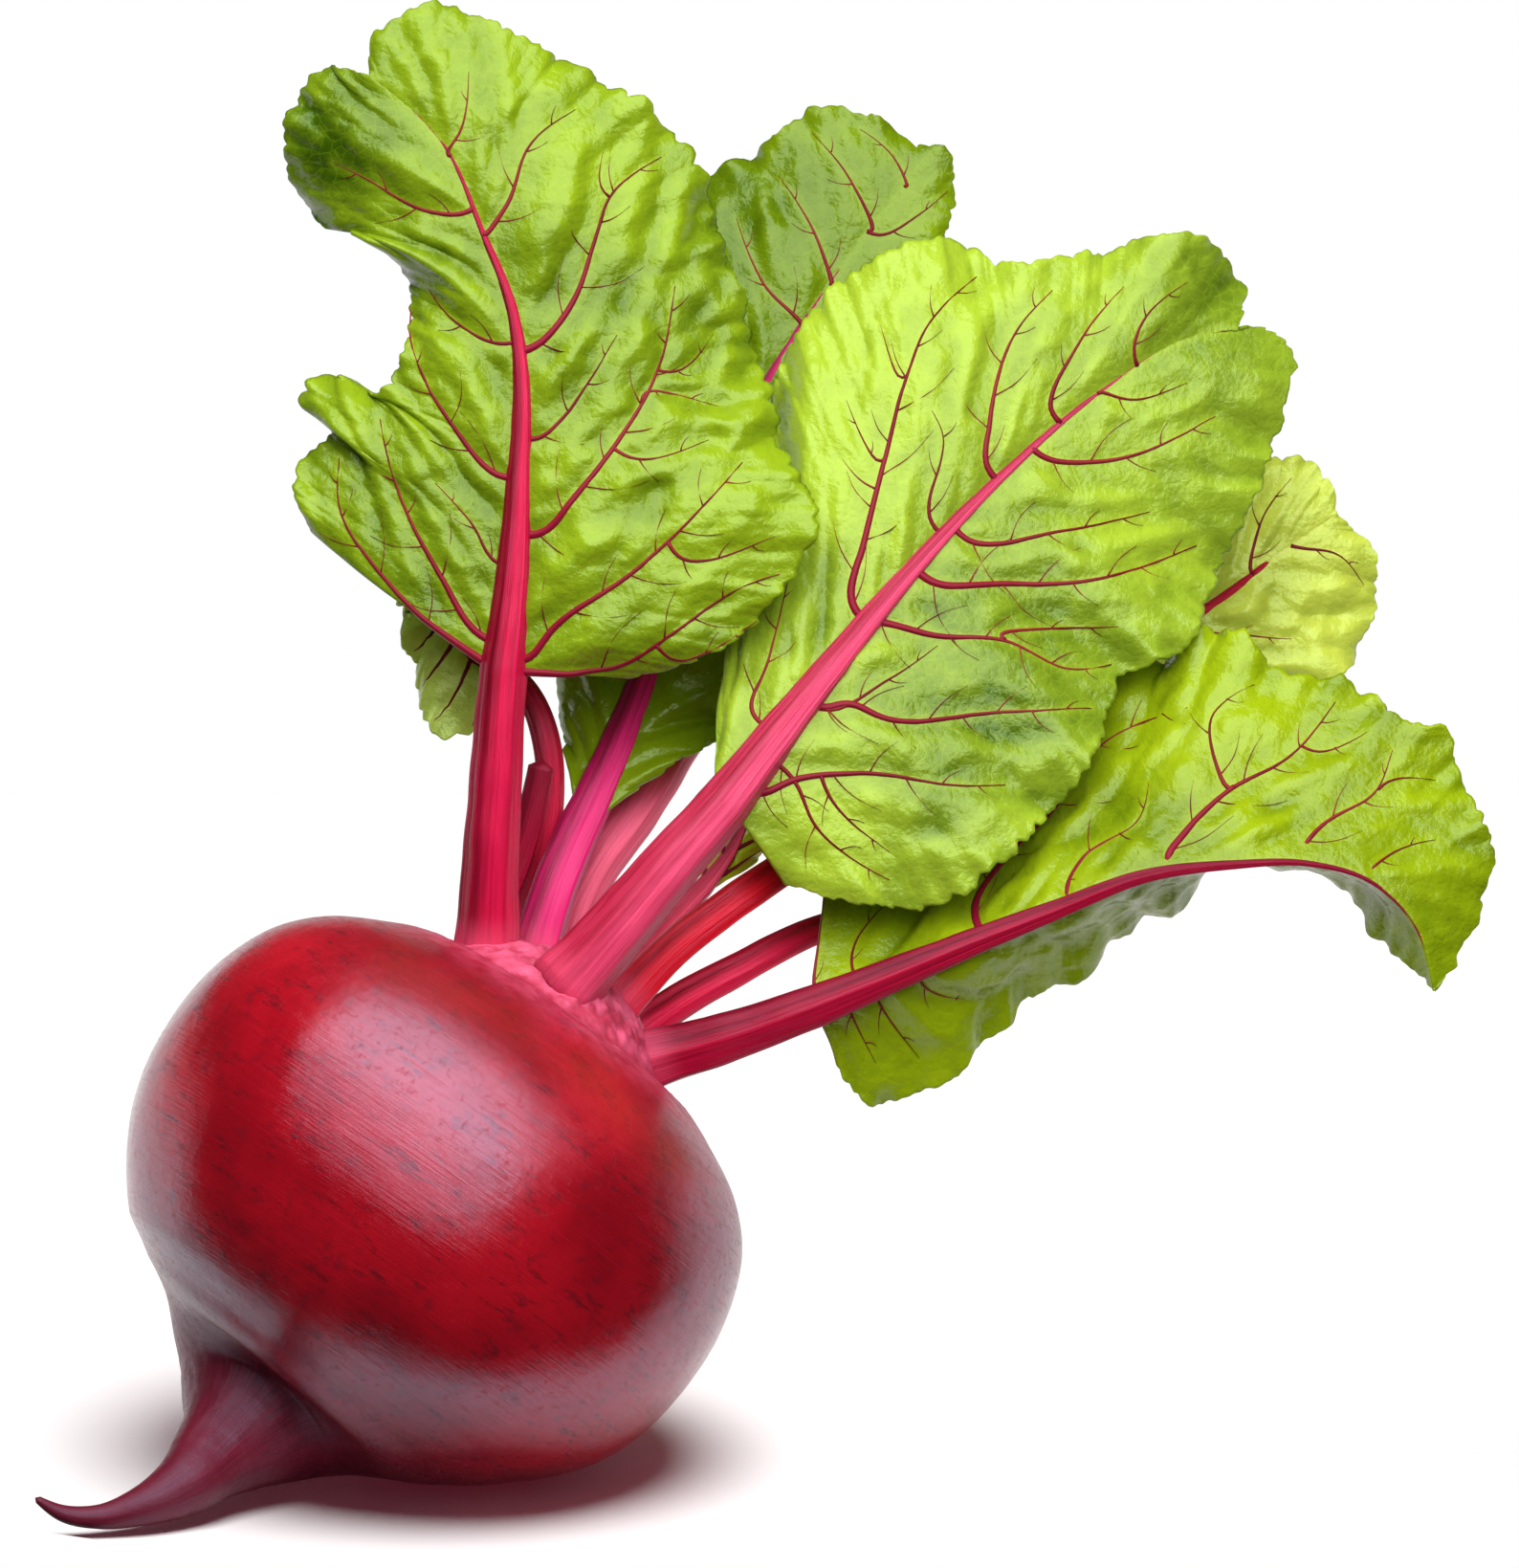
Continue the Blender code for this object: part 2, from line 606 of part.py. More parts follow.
def main():
    for old in list(bpy.data.objects):
        bpy.data.objects.remove(old)
    root_red = principled("root_skin", (0.30, 0.012, 0.030), 0.35)
    stalk_red = principled("stalk_red", (0.55, 0.015, 0.075), 0.40)
    leaf_green = principled("leaf_green", (0.25, 0.42, 0.03), 0.50)
    make_root(root_red)
    for leaf in LEAVES:
        make_stalk(leaf, stalk_red)
        make_blade(leaf, leaf_green)
    make_stub(stalk_red)


main()
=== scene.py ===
"""The looks of the beetroot: fine skins for its root, stalks and blades, with veins, light and camera.

Places are written as in the solids: (right, up, back) in millimetres from the front of the flat
spot, in axes that lean back by LEAN. The photograph looks straight along the third of them.
"""

import math
import random
from dataclasses import dataclass

import bpy
import numpy as np
from mathutils import Matrix, Vector, kdtree, noise

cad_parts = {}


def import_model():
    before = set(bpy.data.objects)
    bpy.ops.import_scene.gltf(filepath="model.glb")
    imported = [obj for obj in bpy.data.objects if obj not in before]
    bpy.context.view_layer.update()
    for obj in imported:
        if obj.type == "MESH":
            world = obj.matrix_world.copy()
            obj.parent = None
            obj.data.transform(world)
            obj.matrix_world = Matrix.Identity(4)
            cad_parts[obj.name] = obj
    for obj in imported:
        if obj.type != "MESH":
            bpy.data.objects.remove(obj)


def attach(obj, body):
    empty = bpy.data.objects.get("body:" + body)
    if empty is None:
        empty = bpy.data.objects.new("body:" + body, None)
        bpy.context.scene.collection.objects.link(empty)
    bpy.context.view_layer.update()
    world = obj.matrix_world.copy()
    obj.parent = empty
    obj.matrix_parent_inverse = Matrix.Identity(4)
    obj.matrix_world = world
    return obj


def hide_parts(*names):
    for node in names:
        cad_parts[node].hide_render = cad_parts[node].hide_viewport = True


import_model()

MM = 0.001
LEAN = math.radians(12.0)
FLAT_SPOT = (0.0, 4.0, 0.0)
LEANING = np.array(
    (
        (1.0, 0.0, 0.0),
        (0.0, math.sin(LEAN), math.cos(LEAN)),
        (0.0, math.cos(LEAN), -math.sin(LEAN)),
    )
)

# The photograph: its middle, the height it shows there, and how far away the camera stands.
LOOK_AT = (38.0, 90.06, 0.0)
SHOWN_HEIGHT = 204.9
LENS = 250.0
SENSOR = 36.0
CAMERA_AWAY = SHOWN_HEIGHT * LENS / SENSOR

ROOT_CENTRE = (-4.6, 36.1, -6.4)
ROOT_AXIS = (0.57, 0.82, 0.10)
CROWN_RADIUS = 16.4
CROWN_FOOT = 29.0
CROWN_TOP = 36.8
BELLY = (  # distance along the axis towards the crown, radius
    (29.0, 16.4), (28.2, 20.6), (25.6, 26.7), (22.4, 32.2), (16.5, 37.6), (12.0, 39.6), (6.0, 41.0),
    (0.0, 41.2), (-8.7, 40.0), (-16.4, 36.8),
)
TAIL = (  # right, up, back, radius
    (-17.8, 17.9, -8.4, 31.9), (-21.9, 13.9, -8.8, 24.4), (-25.1, 10.8, -9.4, 16.8),
    (-27.2, 8.4, -11.5, 11.8), (-29.5, 5.9, -15.5, 8.2), (-32.4, 3.3, -19.5, 5.9),
    (-36.0, 0.0, -24.5, 4.1), (-41.0, -2.4, -28.0, 2.6), (-46.5, -3.7, -29.5, 1.6),
    (-51.1, -3.2, -30.5, 1.1), (-54.2, -1.4, -31.5, 0.5),
)
NECK = (24.0, 42.0)
SHOULDER = (2.0, 26.0)  # where the skin grows dull, towards the crown
ROOT_RADIUS = 41.0
TAIL_SKIN = (20.0, 38.0)  # how far below the centre the skin turns into the tail's
CROWN_SKIN = (24.5, 32.0)  # how far above the centre it turns into the crown's
ROOT_LUMPS = ((0.26, 24.0, 1), (0.08, 8.0, 2), (0.03, 2.5, 3))  # height, size, seed
TAIL_CREASES = ((0.07, 1.3, 5), (0.04, 0.6, 8))
CROWN_LUMPS = ((0.26, 2.4, 6), (0.24, 1.1, 7))
GROOVE_WIDTH, GROOVE_LENGTH = 1.6, 9.0
GROOVE_DEPTH, DEEPEST_GROOVE = 0.022, 0.12  # share of the radius; the limit in millimetres
CREASE_TURN = 9  # creases run round the tail: this much wider and shorter than the grooves
CREASES_END, LUMPS_END = (0.8, 5.0), (0.5, 5.0)  # radii where they begin, and where they are full
CORK_RISES = 1.2
ROOT_SIDES = 260
CROWN_RINGS = 40
BELLY_RINGS = 300

BLADE_ROWS = 300
BLADE_COLUMNS = 60
BLADE_THICKNESS = 0.5
BLADE_STARTS = 0.45  # share of the midrib's half width
RIB_ENDS = (0.93, 1.0)  # shares of the blade's length, here and below
TEETH_BEGIN, TEETH_END = (0.0, 0.02), (0.97, 1.0)
TOOTH_HEIGHT, TOOTH_DEPTH, TOOTH_LENGTH = 1.7, 0.8, 3.4
NICK_HEIGHT, NICK_LENGTH = 0.7, 1.1
FRILLS = ((2.8, 6.0, 20), (1.3, 2.8, 30))  # height, length along the edge, seed
FOLDS = ((2.0, 10.0, 0), (1.2, 5.5, 30))  # height, size, seed
SIDE_FOLD_HEIGHT, SIDE_FOLD_SIZE, SIDE_FOLD_LEAN = 2.4, (3.8, 13.0), 0.6
QUILT_RISE, QUILT_DEPTH, QUILT_SIZE = 0.75, 2.0, 6.5
GRAIN_HEIGHT, GRAIN_SIZE = 0.20, 2.2
PUFF, SMALL_PUFF = (0.45, 2.6), (0.25, 1.3)  # height, how far from a vein it is full
RELIEF = 0.75
STALK_SIDES = 40
FOOT_RINGS = 60
RIB_RINGS = 170
STALK_DEPTH = 0.85
RIB_TAPER = 1.8
RIB_TIP_THINS, RIB_TAPERS_TO = 0.6, 0.95
RIB_REACHES = 0.985  # share of the way to the blade's tip
ROUND_TIP = 0.6
WANDER_SIZE = 5.0
STALK_RADIUS = 3.0
CHANNEL_DEPTH = 0.30
WANDER = 0.05
STALK_RIDGES = ((6, 1, 0.050), (13, 2, 0.018))  # how many round it, their turn, their height
FOOT_SINKS = 2.0
FOOT_SPREAD = 0.12  # how much wider the foot is, and over what length
FOOT_SPREAD_REACH = 4.0
FINE_STEPS = 16

# Side veins and the twigs on them, in millimetres.
VEIN_SIDES = 8
VEIN_RISE = 0.12  # how far it stands out of each face, and what its half width adds to that
VEIN_DEPTH = 0.45
TWIG_GIRTH = 0.16
TWIG_MIN = 8.0
TWIG_SPACING = 4.5
TWIG_LONGEST = 8.0
TWIG_REACH = 0.32  # share of the side vein's length
TWIG_VARIES = (0.6, 1.2)
TWIG_TURNS = (42, 62)  # degrees away from the side vein
TWIG_BENDS = 0.7  # how far it turns back to the side vein's way
THIN_VEIN, VEIN_WIDENS, WIDEST_VEIN = 0.16, 0.017, 0.72
PLAIN_VEIN = 0.45  # the half width of a hidden leaf's veins
PLAIN_VEINS = (0.02, 0.85, 0.15)  # shares of the blade's length: the first, the end, the spacing
PLAIN_VEIN_SHIFT, PLAIN_VEIN_RISE, PLAIN_VEIN_REACH = 0.05, 0.10, 0.9
REDDEST_VEIN = 0.62
VEIN_THINS = 0.86
VEIN_STEP = 0.7
SHORTEST_PATH = 5  # points
OFF_BLADE = 0.7
JOINS_RIB = 6.0
JOINS_VEIN = 2.5

# The studio: lengths in millimetres, but lamp sizes in metres, as Blender takes them.
FLOOR_LEVEL = -0.2
FLOOR_CORNERS = (  # right, back
    (-420.0, 90.0), (-130.0, 10.0), (-60.0, -28.0), (-25.0, -46.0), (20.0, -48.0), (45.0, -34.0),
    (110.0, 10.0), (420.0, 90.0), (420.0, 420.0), (-420.0, 420.0),
)
DIM = 0.03
SWEEP_BEGINS = (0.32, 0.36)  # how far back a direction points, where the white sweep starts
SWEEP_ENDS = (0.05, 0.22)  # how far up a direction points, where the white sweep stops
KEY_MIDDLE = (-7.0, 51.0, -38.0)
KEY_WAY = (0.05, 0.705, -0.705)
KEY_LONG_SIDE = (-0.62, 0.48, 0.62)
KEY_DISTANCE = 750.0
KEY_SIZES = ((0.90, 1.75), (0.60, 1.20), (0.32, 0.70))  # one inside the other, for a soft edge
KEY_RADIANCE = 3.5
FLOOR_LIGHT = 3.9
FLOOR_LIGHT_WIDTH = 36.0
FLOOR_LIGHT_TURNS = (19.0, 3.0, 0.0)


@dataclass
class Leaf:
    """One leaf. Both edges of its blade end at the midrib's last point, the tip."""

    name: str
    seat: tuple  # across and behind the crown's centre
    stalk: tuple  # points between the crown and the blade
    rib: tuple  # points from the blade's base to its tip
    left: tuple  # points of the left edge from the blade's base, without the tip
    right: tuple
    girth: tuple  # half widths at the crown, at the blade's base and at the tip
    bulge: tuple  # how far the left and right halves arch, as a share of their width
    ripples: tuple  # number of waves along the edge, and their height
    channel_side: int  # 1 where the channelled upper side faces back, -1 where it faces forward
    green: tuple  # the blade's darker and lighter colour
    red: tuple  # the stalk's darker and lighter colour
    veins: tuple = ()  # side veins as (right, up), as they are seen from the front
    # The patches are partly the blade's own colour and partly painted shade and painted highlight.
    patches: tuple = ()  # lighter and darker places: right, up, size, how much lighter
    relief: float = 1.0  # how strongly the blade is puckered


TALL_LEFT = Leaf(
    name="tall_left",
    seat=(-13.3, -2.5),
    stalk=((3.0, 80.1, -7.5), (3.8, 92.5, -8.5)),
    rib=(
        (4.7, 104.9, -9.0), (6.1, 117.3, -9.0), (6.8, 129.8, -8.5), (7.1, 142.2, -7.5),
        (5.7, 152.2, -6.0), (2.0, 161.8, -4.5), (-3.5, 173.9, -2.5), (-12.8, 182.5, 0.0),
    ),
    left=(
        (-20.3, 123.0, -1.0), (-22.0, 132.5, 1.0), (-18.6, 136.5, 0.5), (-21.6, 140.1, 3.0),
        (-18.1, 143.5, 3.0), (-11.4, 140.9, -2.0), (-7.9, 146.9, -1.5), (-14.1, 162.2, 3.0),
        (-20.7, 163.8, 6.0), (-23.9, 171.9, 7.0), (-20.5, 183.3, 5.0),
    ),
    right=(
        (21.1, 103.9, -8.0), (36.0, 109.4, -9.0), (42.5, 116.8, -9.0), (45.7, 124.8, -8.0),
        (40.5, 134.4, -4.0), (39.0, 143.0, -1.0), (33.4, 160.1, 2.0), (31.6, 168.2, 3.0),
        (20.6, 179.7, 3.0), (6.9, 187.6, 2.0), (-6.4, 191.7, 3.0), (-12.5, 187.6, 2.0),
    ),
    girth=(3.8, 3.0, 0.5),
    bulge=(0.10, 0.08),
    ripples=(5.0, 1.4),
    channel_side=1,
    green=((0.035, 0.080, 0.0008), (0.270, 0.395, 0.010)),
    red=((0.170, 0.0020, 0.011), (0.440, 0.0050, 0.042)),
    veins=(
        ((-3.1, 171.9), (-1.2, 175.0), (0.0, 183.1)),
        ((1.9, 161.5), (5.0, 165.6), (8.1, 173.8), (13.8, 178.1)),
        ((8.1, 146.9), (12.5, 151.2), (16.9, 162.5), (18.1, 166.2), (25.0, 171.9)),
        ((18.1, 166.9), (17.5, 172.5)),
        ((8.5, 135.0), (12.5, 138.1), (15.6, 142.5), (19.4, 148.8)),
        ((8.8, 122.5), (13.8, 127.5), (18.8, 133.8), (25.0, 145.0), (26.9, 155.0)),
        ((26.2, 143.8), (31.9, 148.8)),
        ((22.5, 140.0), (32.5, 139.4)),
        ((19.4, 133.5), (31.2, 135.0)),
        ((7.2, 106.2), (11.2, 110.6), (21.2, 117.5), (26.2, 121.9), (35.6, 131.9)),
        ((26.2, 121.2), (40.0, 122.5)),
        ((7.8, 100.0), (13.8, 104.4), (20.0, 105.6), (26.2, 109.4), (36.2, 116.0), (40.6, 117.5)),
        ((25.0, 107.5), (37.5, 111.2)),
        ((0.0, 164.8), (-5.0, 164.8), (-13.8, 169.4), (-17.5, 171.2)),
        ((5.0, 147.5), (-1.2, 150.0), (-6.2, 156.2)),
        ((5.6, 130.0), (-2.5, 137.5), (-5.6, 142.5), (-8.8, 152.5)),
        ((3.8, 118.8), (0.6, 123.8), (-4.4, 129.4)),
        ((2.8, 108.8), (-3.8, 117.5), (-9.4, 128.8), (-11.6, 137.5)),
        ((0.9, 105.4), (-5.6, 111.2), (-11.2, 117.2), (-16.9, 126.2), (-16.9, 132.5)),
    ),
    patches=(
        (-17.5, 174.0, 9.0, -0.60), (-5.0, 185.0, 9.0, 0.40), (18.8, 170.0, 8.0, 0.50),
        (9.0, 160.0, 6.0, -0.30), (-7.5, 156.0, 6.0, -0.25), (35.0, 128.0, 12.0, 0.40),
        (36.0, 121.0, 8.0, 0.40), (-11.0, 112.0, 7.0, -0.25), (15.0, 143.0, 6.0, -0.20),
    ),
)

BROAD_FRONT = Leaf(
    name="broad_front",
    seat=(-1.4, -11.0),
    stalk=((20.2, 72.2, -15.0), (26.4, 79.5, -15.0)),
    rib=(
        (33.5, 87.5, -14.0), (38.8, 94.4, -12.0), (45.0, 102.2, -9.0), (51.2, 109.9, -6.0),
        (57.5, 117.4, -3.0), (70.1, 130.7, 3.0), (82.8, 141.6, 8.0), (95.5, 149.1, 13.0),
        (101.0, 150.0, 15.0),
    ),
    left=(
        (34.4, 106.0, 1.0), (36.3, 117.6, 6.0), (38.8, 134.1, 10.0), (40.5, 144.0, 12.0),
        (46.1, 153.5, 12.0), (54.5, 159.9, 13.0), (65.3, 162.0, 13.5), (69.9, 158.6, 13.0),
        (83.0, 160.7, 15.0), (92.6, 162.9, 16.0), (99.3, 160.3, 18.0), (102.3, 155.3, 19.0),
    ),
    right=(
        (41.3, 77.1, -10.0), (47.4, 75.1, -10.0), (61.8, 74.6, -11.0), (71.3, 81.5, -9.0),
        (82.5, 95.0, -3.0), (85.2, 103.5, 1.0), (93.0, 107.3, 4.0), (97.0, 113.8, 8.0),
        (101.5, 123.9, 13.0), (104.6, 130.4, 13.0), (107.5, 139.6, 15.0), (108.3, 147.7, 18.0),
        (104.8, 150.5, 17.0),
    ),
    girth=(4.3, 3.3, 0.5),
    bulge=(0.08, 0.03),
    ripples=(6.0, 1.5),
    channel_side=1,
    green=((0.045, 0.100, 0.0008), (0.360, 0.500, 0.030)),
    red=((0.343, 0.0053, 0.026), (0.541, 0.046, 0.112)),
    veins=(
        ((36.9, 99.4), (38.8, 105.0), (41.9, 117.5)),
        ((50.6, 112.5), (51.9, 122.5), (54.4, 132.5), (57.2, 143.1), (60.0, 150.0), (66.2, 156.2)),
        ((57.2, 143.1), (53.8, 150.0)),
        ((54.4, 132.5), (49.4, 140.0)),
        ((52.5, 128.8), (48.8, 132.5)),
        ((60.6, 123.8), (61.9, 136.2), (60.6, 138.8)),
        ((68.1, 130.6), (68.1, 137.5), (72.5, 150.6), (76.2, 154.4)),
        ((76.9, 137.5), (80.0, 148.1), (85.6, 155.0)),
        ((86.9, 145.6), (87.5, 149.4), (93.8, 155.6)),
        ((81.9, 141.2), (86.2, 140.2), (93.8, 142.5)),
        ((74.4, 133.1), (82.5, 132.2), (97.5, 138.1)),
        ((63.8, 122.9), (77.5, 123.1), (88.8, 125.6)),
        ((58.8, 117.5), (70.0, 116.2), (82.5, 116.9), (95.0, 121.2)),
        ((51.9, 111.2), (61.2, 109.4), (70.0, 108.8), (78.8, 105.0), (83.8, 105.6)),
        ((70.0, 108.8), (85.0, 110.6)),
        ((45.6, 100.0), (55.0, 103.8), (61.2, 108.1)),
        ((45.6, 100.0), (50.0, 100.6), (53.8, 98.8), (68.8, 99.4), (81.2, 100.0)),
        ((37.5, 88.8), (42.5, 90.6), (51.2, 91.5), (65.0, 89.8), (70.0, 90.0)),
        ((42.5, 90.6), (45.0, 85.0), (55.0, 77.5)),
        ((46.2, 90.6), (55.0, 81.2)),
    ),
    relief=0.60,
    patches=(
        (51.0, 154.0, 15.0, 0.45), (45.0, 130.0, 13.0, 0.30), (68.0, 100.0, 15.0, -0.55),
        (90.0, 133.0, 12.0, 0.20), (99.0, 146.0, 8.0, -0.15), (75.0, 155.0, 8.0, 0.20),
        (48.0, 82.0, 8.0, 0.80), (72.0, 78.0, 9.0, 0.25),
    ),
)

TALL_REAR = Leaf(
    name="tall_rear",
    seat=(-7.5, 3.0),
    stalk=((11.0, 76.0, 1.0),),
    rib=(
        (14.9, 85.3, 4.5), (18.7, 93.8, 8.0), (22.2, 102.6, 12.0), (26.2, 114.1, 17.0),
        (31.8, 129.4, 22.0), (40.0, 145.4, 27.0), (49.0, 159.0, 31.0), (56.7, 169.3, 33.0),
        (62.6, 175.5, 34.0),
    ),
    left=(
        (14.2, 90.4, 8.5), (12.1, 96.5, 13.0), (12.4, 108.2, 20.0), (18.5, 123.1, 26.0),
        (24.7, 143.7, 32.0), (26.7, 159.2, 36.0), (30.6, 171.1, 38.0), (38.8, 176.0, 38.0),
        (45.2, 180.3, 38.0), (52.4, 179.8, 37.0), (59.0, 175.6, 36.0),
    ),
    right=(
        (20.6, 88.6, 6.0), (27.1, 92.3, 8.0), (31.0, 94.4, 10.5), (36.0, 104.0, 14.0),
        (38.8, 117.8, 18.0), (45.1, 133.2, 24.0), (54.1, 147.4, 29.0), (61.0, 158.5, 32.0),
        (63.8, 166.8, 34.0), (64.4, 173.0, 34.5),
    ),
    girth=(2.9, 2.8, 0.5),
    bulge=(0.08, 0.06),
    ripples=(5.0, 1.3),
    channel_side=-1,
    green=((0.050, 0.102, 0.0006), (0.190, 0.285, 0.003)),
    red=((0.230, 0.0016, 0.034), (0.520, 0.012, 0.120)),
    veins=(
        ((43.8, 149.4), (38.8, 155.0), (35.0, 163.8)),
        ((47.5, 155.0), (45.0, 162.5), (40.6, 169.4)),
        ((52.5, 161.9), (50.0, 168.8), (45.0, 175.0)),
        ((57.5, 167.5), (55.6, 171.9), (51.2, 175.6)),
        ((47.5, 155.0), (53.8, 157.5), (58.8, 159.8)),
        ((52.5, 161.9), (58.8, 164.4), (62.5, 167.5)),
    ),
    patches=(
        (37.0, 164.0, 7.0, -0.35), (59.0, 165.0, 5.0, 0.30), (46.0, 174.0, 5.0, 0.10),
        (25.0, 96.0, 16.0, 0.90),
    ),
)

LOW_RIGHT = Leaf(
    name="low_right",
    seat=(13.3, -3.0),
    stalk=((36.3, 57.9, -8.0),),
    rib=(
        (45.0, 61.1, -9.0), (54.9, 65.1, -10.0), (63.6, 68.7, -11.0), (76.0, 73.6, -12.0),
        (88.3, 78.2, -13.0), (99.4, 79.6, -13.0), (109.4, 79.7, -12.0), (116.9, 77.6, -11.0),
        (122.5, 72.6, -10.0), (125.7, 63.2, -8.5),
    ),
    left=(
        (46.5, 76.5, -1.0), (58.0, 79.0, 2.0), (68.0, 88.0, 9.0), (77.0, 98.0, 13.0),
        (84.3, 105.0, 13.0), (89.5, 106.8, 11.0), (94.5, 110.6, 9.0), (101.4, 109.0, 5.0),
        (106.5, 105.0, 2.0), (115.1, 104.0, 2.0), (122.0, 97.7, 0.0), (127.0, 97.0, 0.0),
        (130.7, 89.0, -2.0), (133.2, 80.0, -3.0), (131.2, 71.6, -5.0),
    ),
    right=(
        (47.3, 56.6, -5.0), (51.9, 48.5, -2.0), (61.3, 50.9, 0.0), (68.8, 58.5, 2.0),
        (78.2, 65.9, 4.0), (84.6, 69.3, 6.0), (94.2, 77.4, 9.0), (104.3, 78.4, 10.0),
        (114.3, 76.9, 6.0), (117.1, 73.0, 2.0), (119.9, 68.8, -2.0),
    ),
    girth=(3.7, 2.9, 0.45),
    bulge=(-0.02, -0.06),
    ripples=(6.0, 1.2),
    channel_side=1,
    green=((0.090, 0.150, 0.0010), (0.310, 0.420, 0.0040)),
    red=((0.132, 0.0010, 0.010), (0.300, 0.0030, 0.024)),
    veins=(
        ((45.0, 63.8), (45.2, 75.6)),
        ((50.0, 66.2), (55.0, 75.0)),
        ((66.2, 72.5), (71.2, 81.2), (76.2, 86.1), (82.8, 95.2), (94.0, 100.0)),
        ((78.1, 75.6), (80.0, 80.0), (88.1, 86.2), (88.8, 90.0)),
        ((91.2, 79.4), (93.8, 83.8), (98.8, 88.8), (107.5, 93.8), (113.1, 100.6)),
        ((108.8, 95.0), (117.5, 96.9)),
        ((100.0, 89.4), (96.9, 98.8), (102.5, 103.1)),
        ((108.1, 80.2), (111.2, 84.4), (118.8, 89.4), (120.6, 94.4)),
        ((118.8, 89.4), (126.2, 90.6)),
        ((117.5, 78.5), (122.5, 81.9), (126.2, 82.8)),
        ((58.8, 64.4), (66.9, 61.9)),
        ((53.8, 61.2), (58.8, 54.4)),
        ((50.0, 60.0), (53.1, 53.8)),
    ),
    relief=0.60,
    patches=(
        (100.0, 102.0, 10.0, 0.40), (89.0, 83.0, 7.0, -0.30), (124.0, 86.0, 8.0, 0.20),
        (58.0, 58.0, 14.0, 0.40), (112.0, 92.0, 7.0, -0.15),
    ),
)

FAR_RIGHT = Leaf(
    name="far_right",
    seat=(5.8, -3.0),
    stalk=(
        (26.3, 68.2, -5.0), (33.8, 74.1, -3.0), (41.9, 79.6, 0.5), (57.7, 91.3, 14.0),
        (76.9, 102.7, 24.0),
    ),
    rib=((85.9, 107.8, 28.0), (98.8, 114.3, 31.0), (106.5, 120.1, 32.0), (115.1, 126.1, 33.0)),
    left=(
        (89.1, 119.6, 31.0), (96.4, 128.4, 34.0), (104.6, 133.1, 36.0), (110.8, 133.6, 36.0),
        (114.6, 129.4, 34.0),
    ),
    right=(
        (93.7, 99.7, 31.0), (102.8, 99.7, 33.0), (113.7, 104.3, 35.0), (119.8, 112.0, 36.0),
        (120.2, 120.7, 35.0),
    ),
    girth=(2.5, 1.7, 0.4),
    bulge=(0.08, 0.08),
    ripples=(3.0, 1.0),
    channel_side=-1,
    green=((0.260, 0.330, 0.020), (0.600, 0.680, 0.090)),
    red=((0.350, 0.0012, 0.0060), (0.560, 0.0040, 0.016)),
    veins=(
        ((94.4, 111.2), (102.5, 109.4), (107.5, 109.0)),
        ((102.5, 117.5), (103.8, 125.0), (107.5, 130.0)),
        ((107.5, 121.2), (113.8, 120.0), (116.9, 116.2)),
    ),
)

MID_RIGHT = Leaf(
    name="mid_right",
    seat=(9.2, 7.0),
    stalk=((28.8, 62.4, 4.0), (36.3, 66.4, 5.0), (42.8, 69.8, 7.0), (55.0, 74.0, 11.0)),
    rib=(
        (65.0, 78.5, 15.0), (72.5, 83.5, 17.5), (80.0, 89.5, 19.5), (87.0, 94.5, 21.0),
        (94.0, 98.5, 22.0),
    ),
    left=(
        (66.0, 86.0, 16.0), (74.5, 95.0, 19.5), (83.0, 101.0, 22.0), (90.0, 102.5, 23.0),
    ),
    right=(
        (72.0, 77.5, 15.5), (81.0, 80.5, 17.5), (89.0, 86.5, 20.0), (94.0, 92.5, 21.5),
    ),
    girth=(2.5, 1.3, 0.4),
    bulge=(0.06, 0.06),
    ripples=(2.0, 0.6),
    channel_side=-1,
    green=((0.160, 0.240, 0.006), (0.420, 0.540, 0.040)),
    red=((0.260, 0.0016, 0.011), (0.560, 0.0060, 0.046)),
)

BEHIND_FRONT = Leaf(
    name="behind_front",
    seat=(-3.0, 10.0),
    stalk=((13.5, 73.7, 9.0), (16.8, 80.2, 10.5), (21.9, 87.3, 13.0), (27.9, 97.1, 18.0)),
    rib=(
        (35.6, 106.6, 22.0), (42.6, 118.0, 28.0), (49.2, 128.3, 32.0), (54.9, 136.1, 35.0),
        (61.2, 143.9, 37.0),
    ),
    left=(
        (36.0, 118.6, 30.0), (40.1, 131.0, 36.0), (46.2, 142.4, 40.0), (54.5, 148.1, 41.0),
    ),
    right=(
        (47.7, 106.3, 26.0), (56.9, 112.4, 29.0), (64.6, 123.3, 33.0), (66.2, 134.9, 35.0),
    ),
    girth=(3.3, 3.2, 0.45),
    bulge=(0.08, 0.08),
    ripples=(3.0, 1.0),
    channel_side=-1,
    green=((0.130, 0.240, 0.002), (0.400, 0.560, 0.020)),
    # Its stalk red is paler and pinker than the others': partly its own pink, partly painted light, so
    # it shows lit where leaves above shade it.
    red=((0.450, 0.030, 0.070), (0.700, 0.100, 0.180)),
)

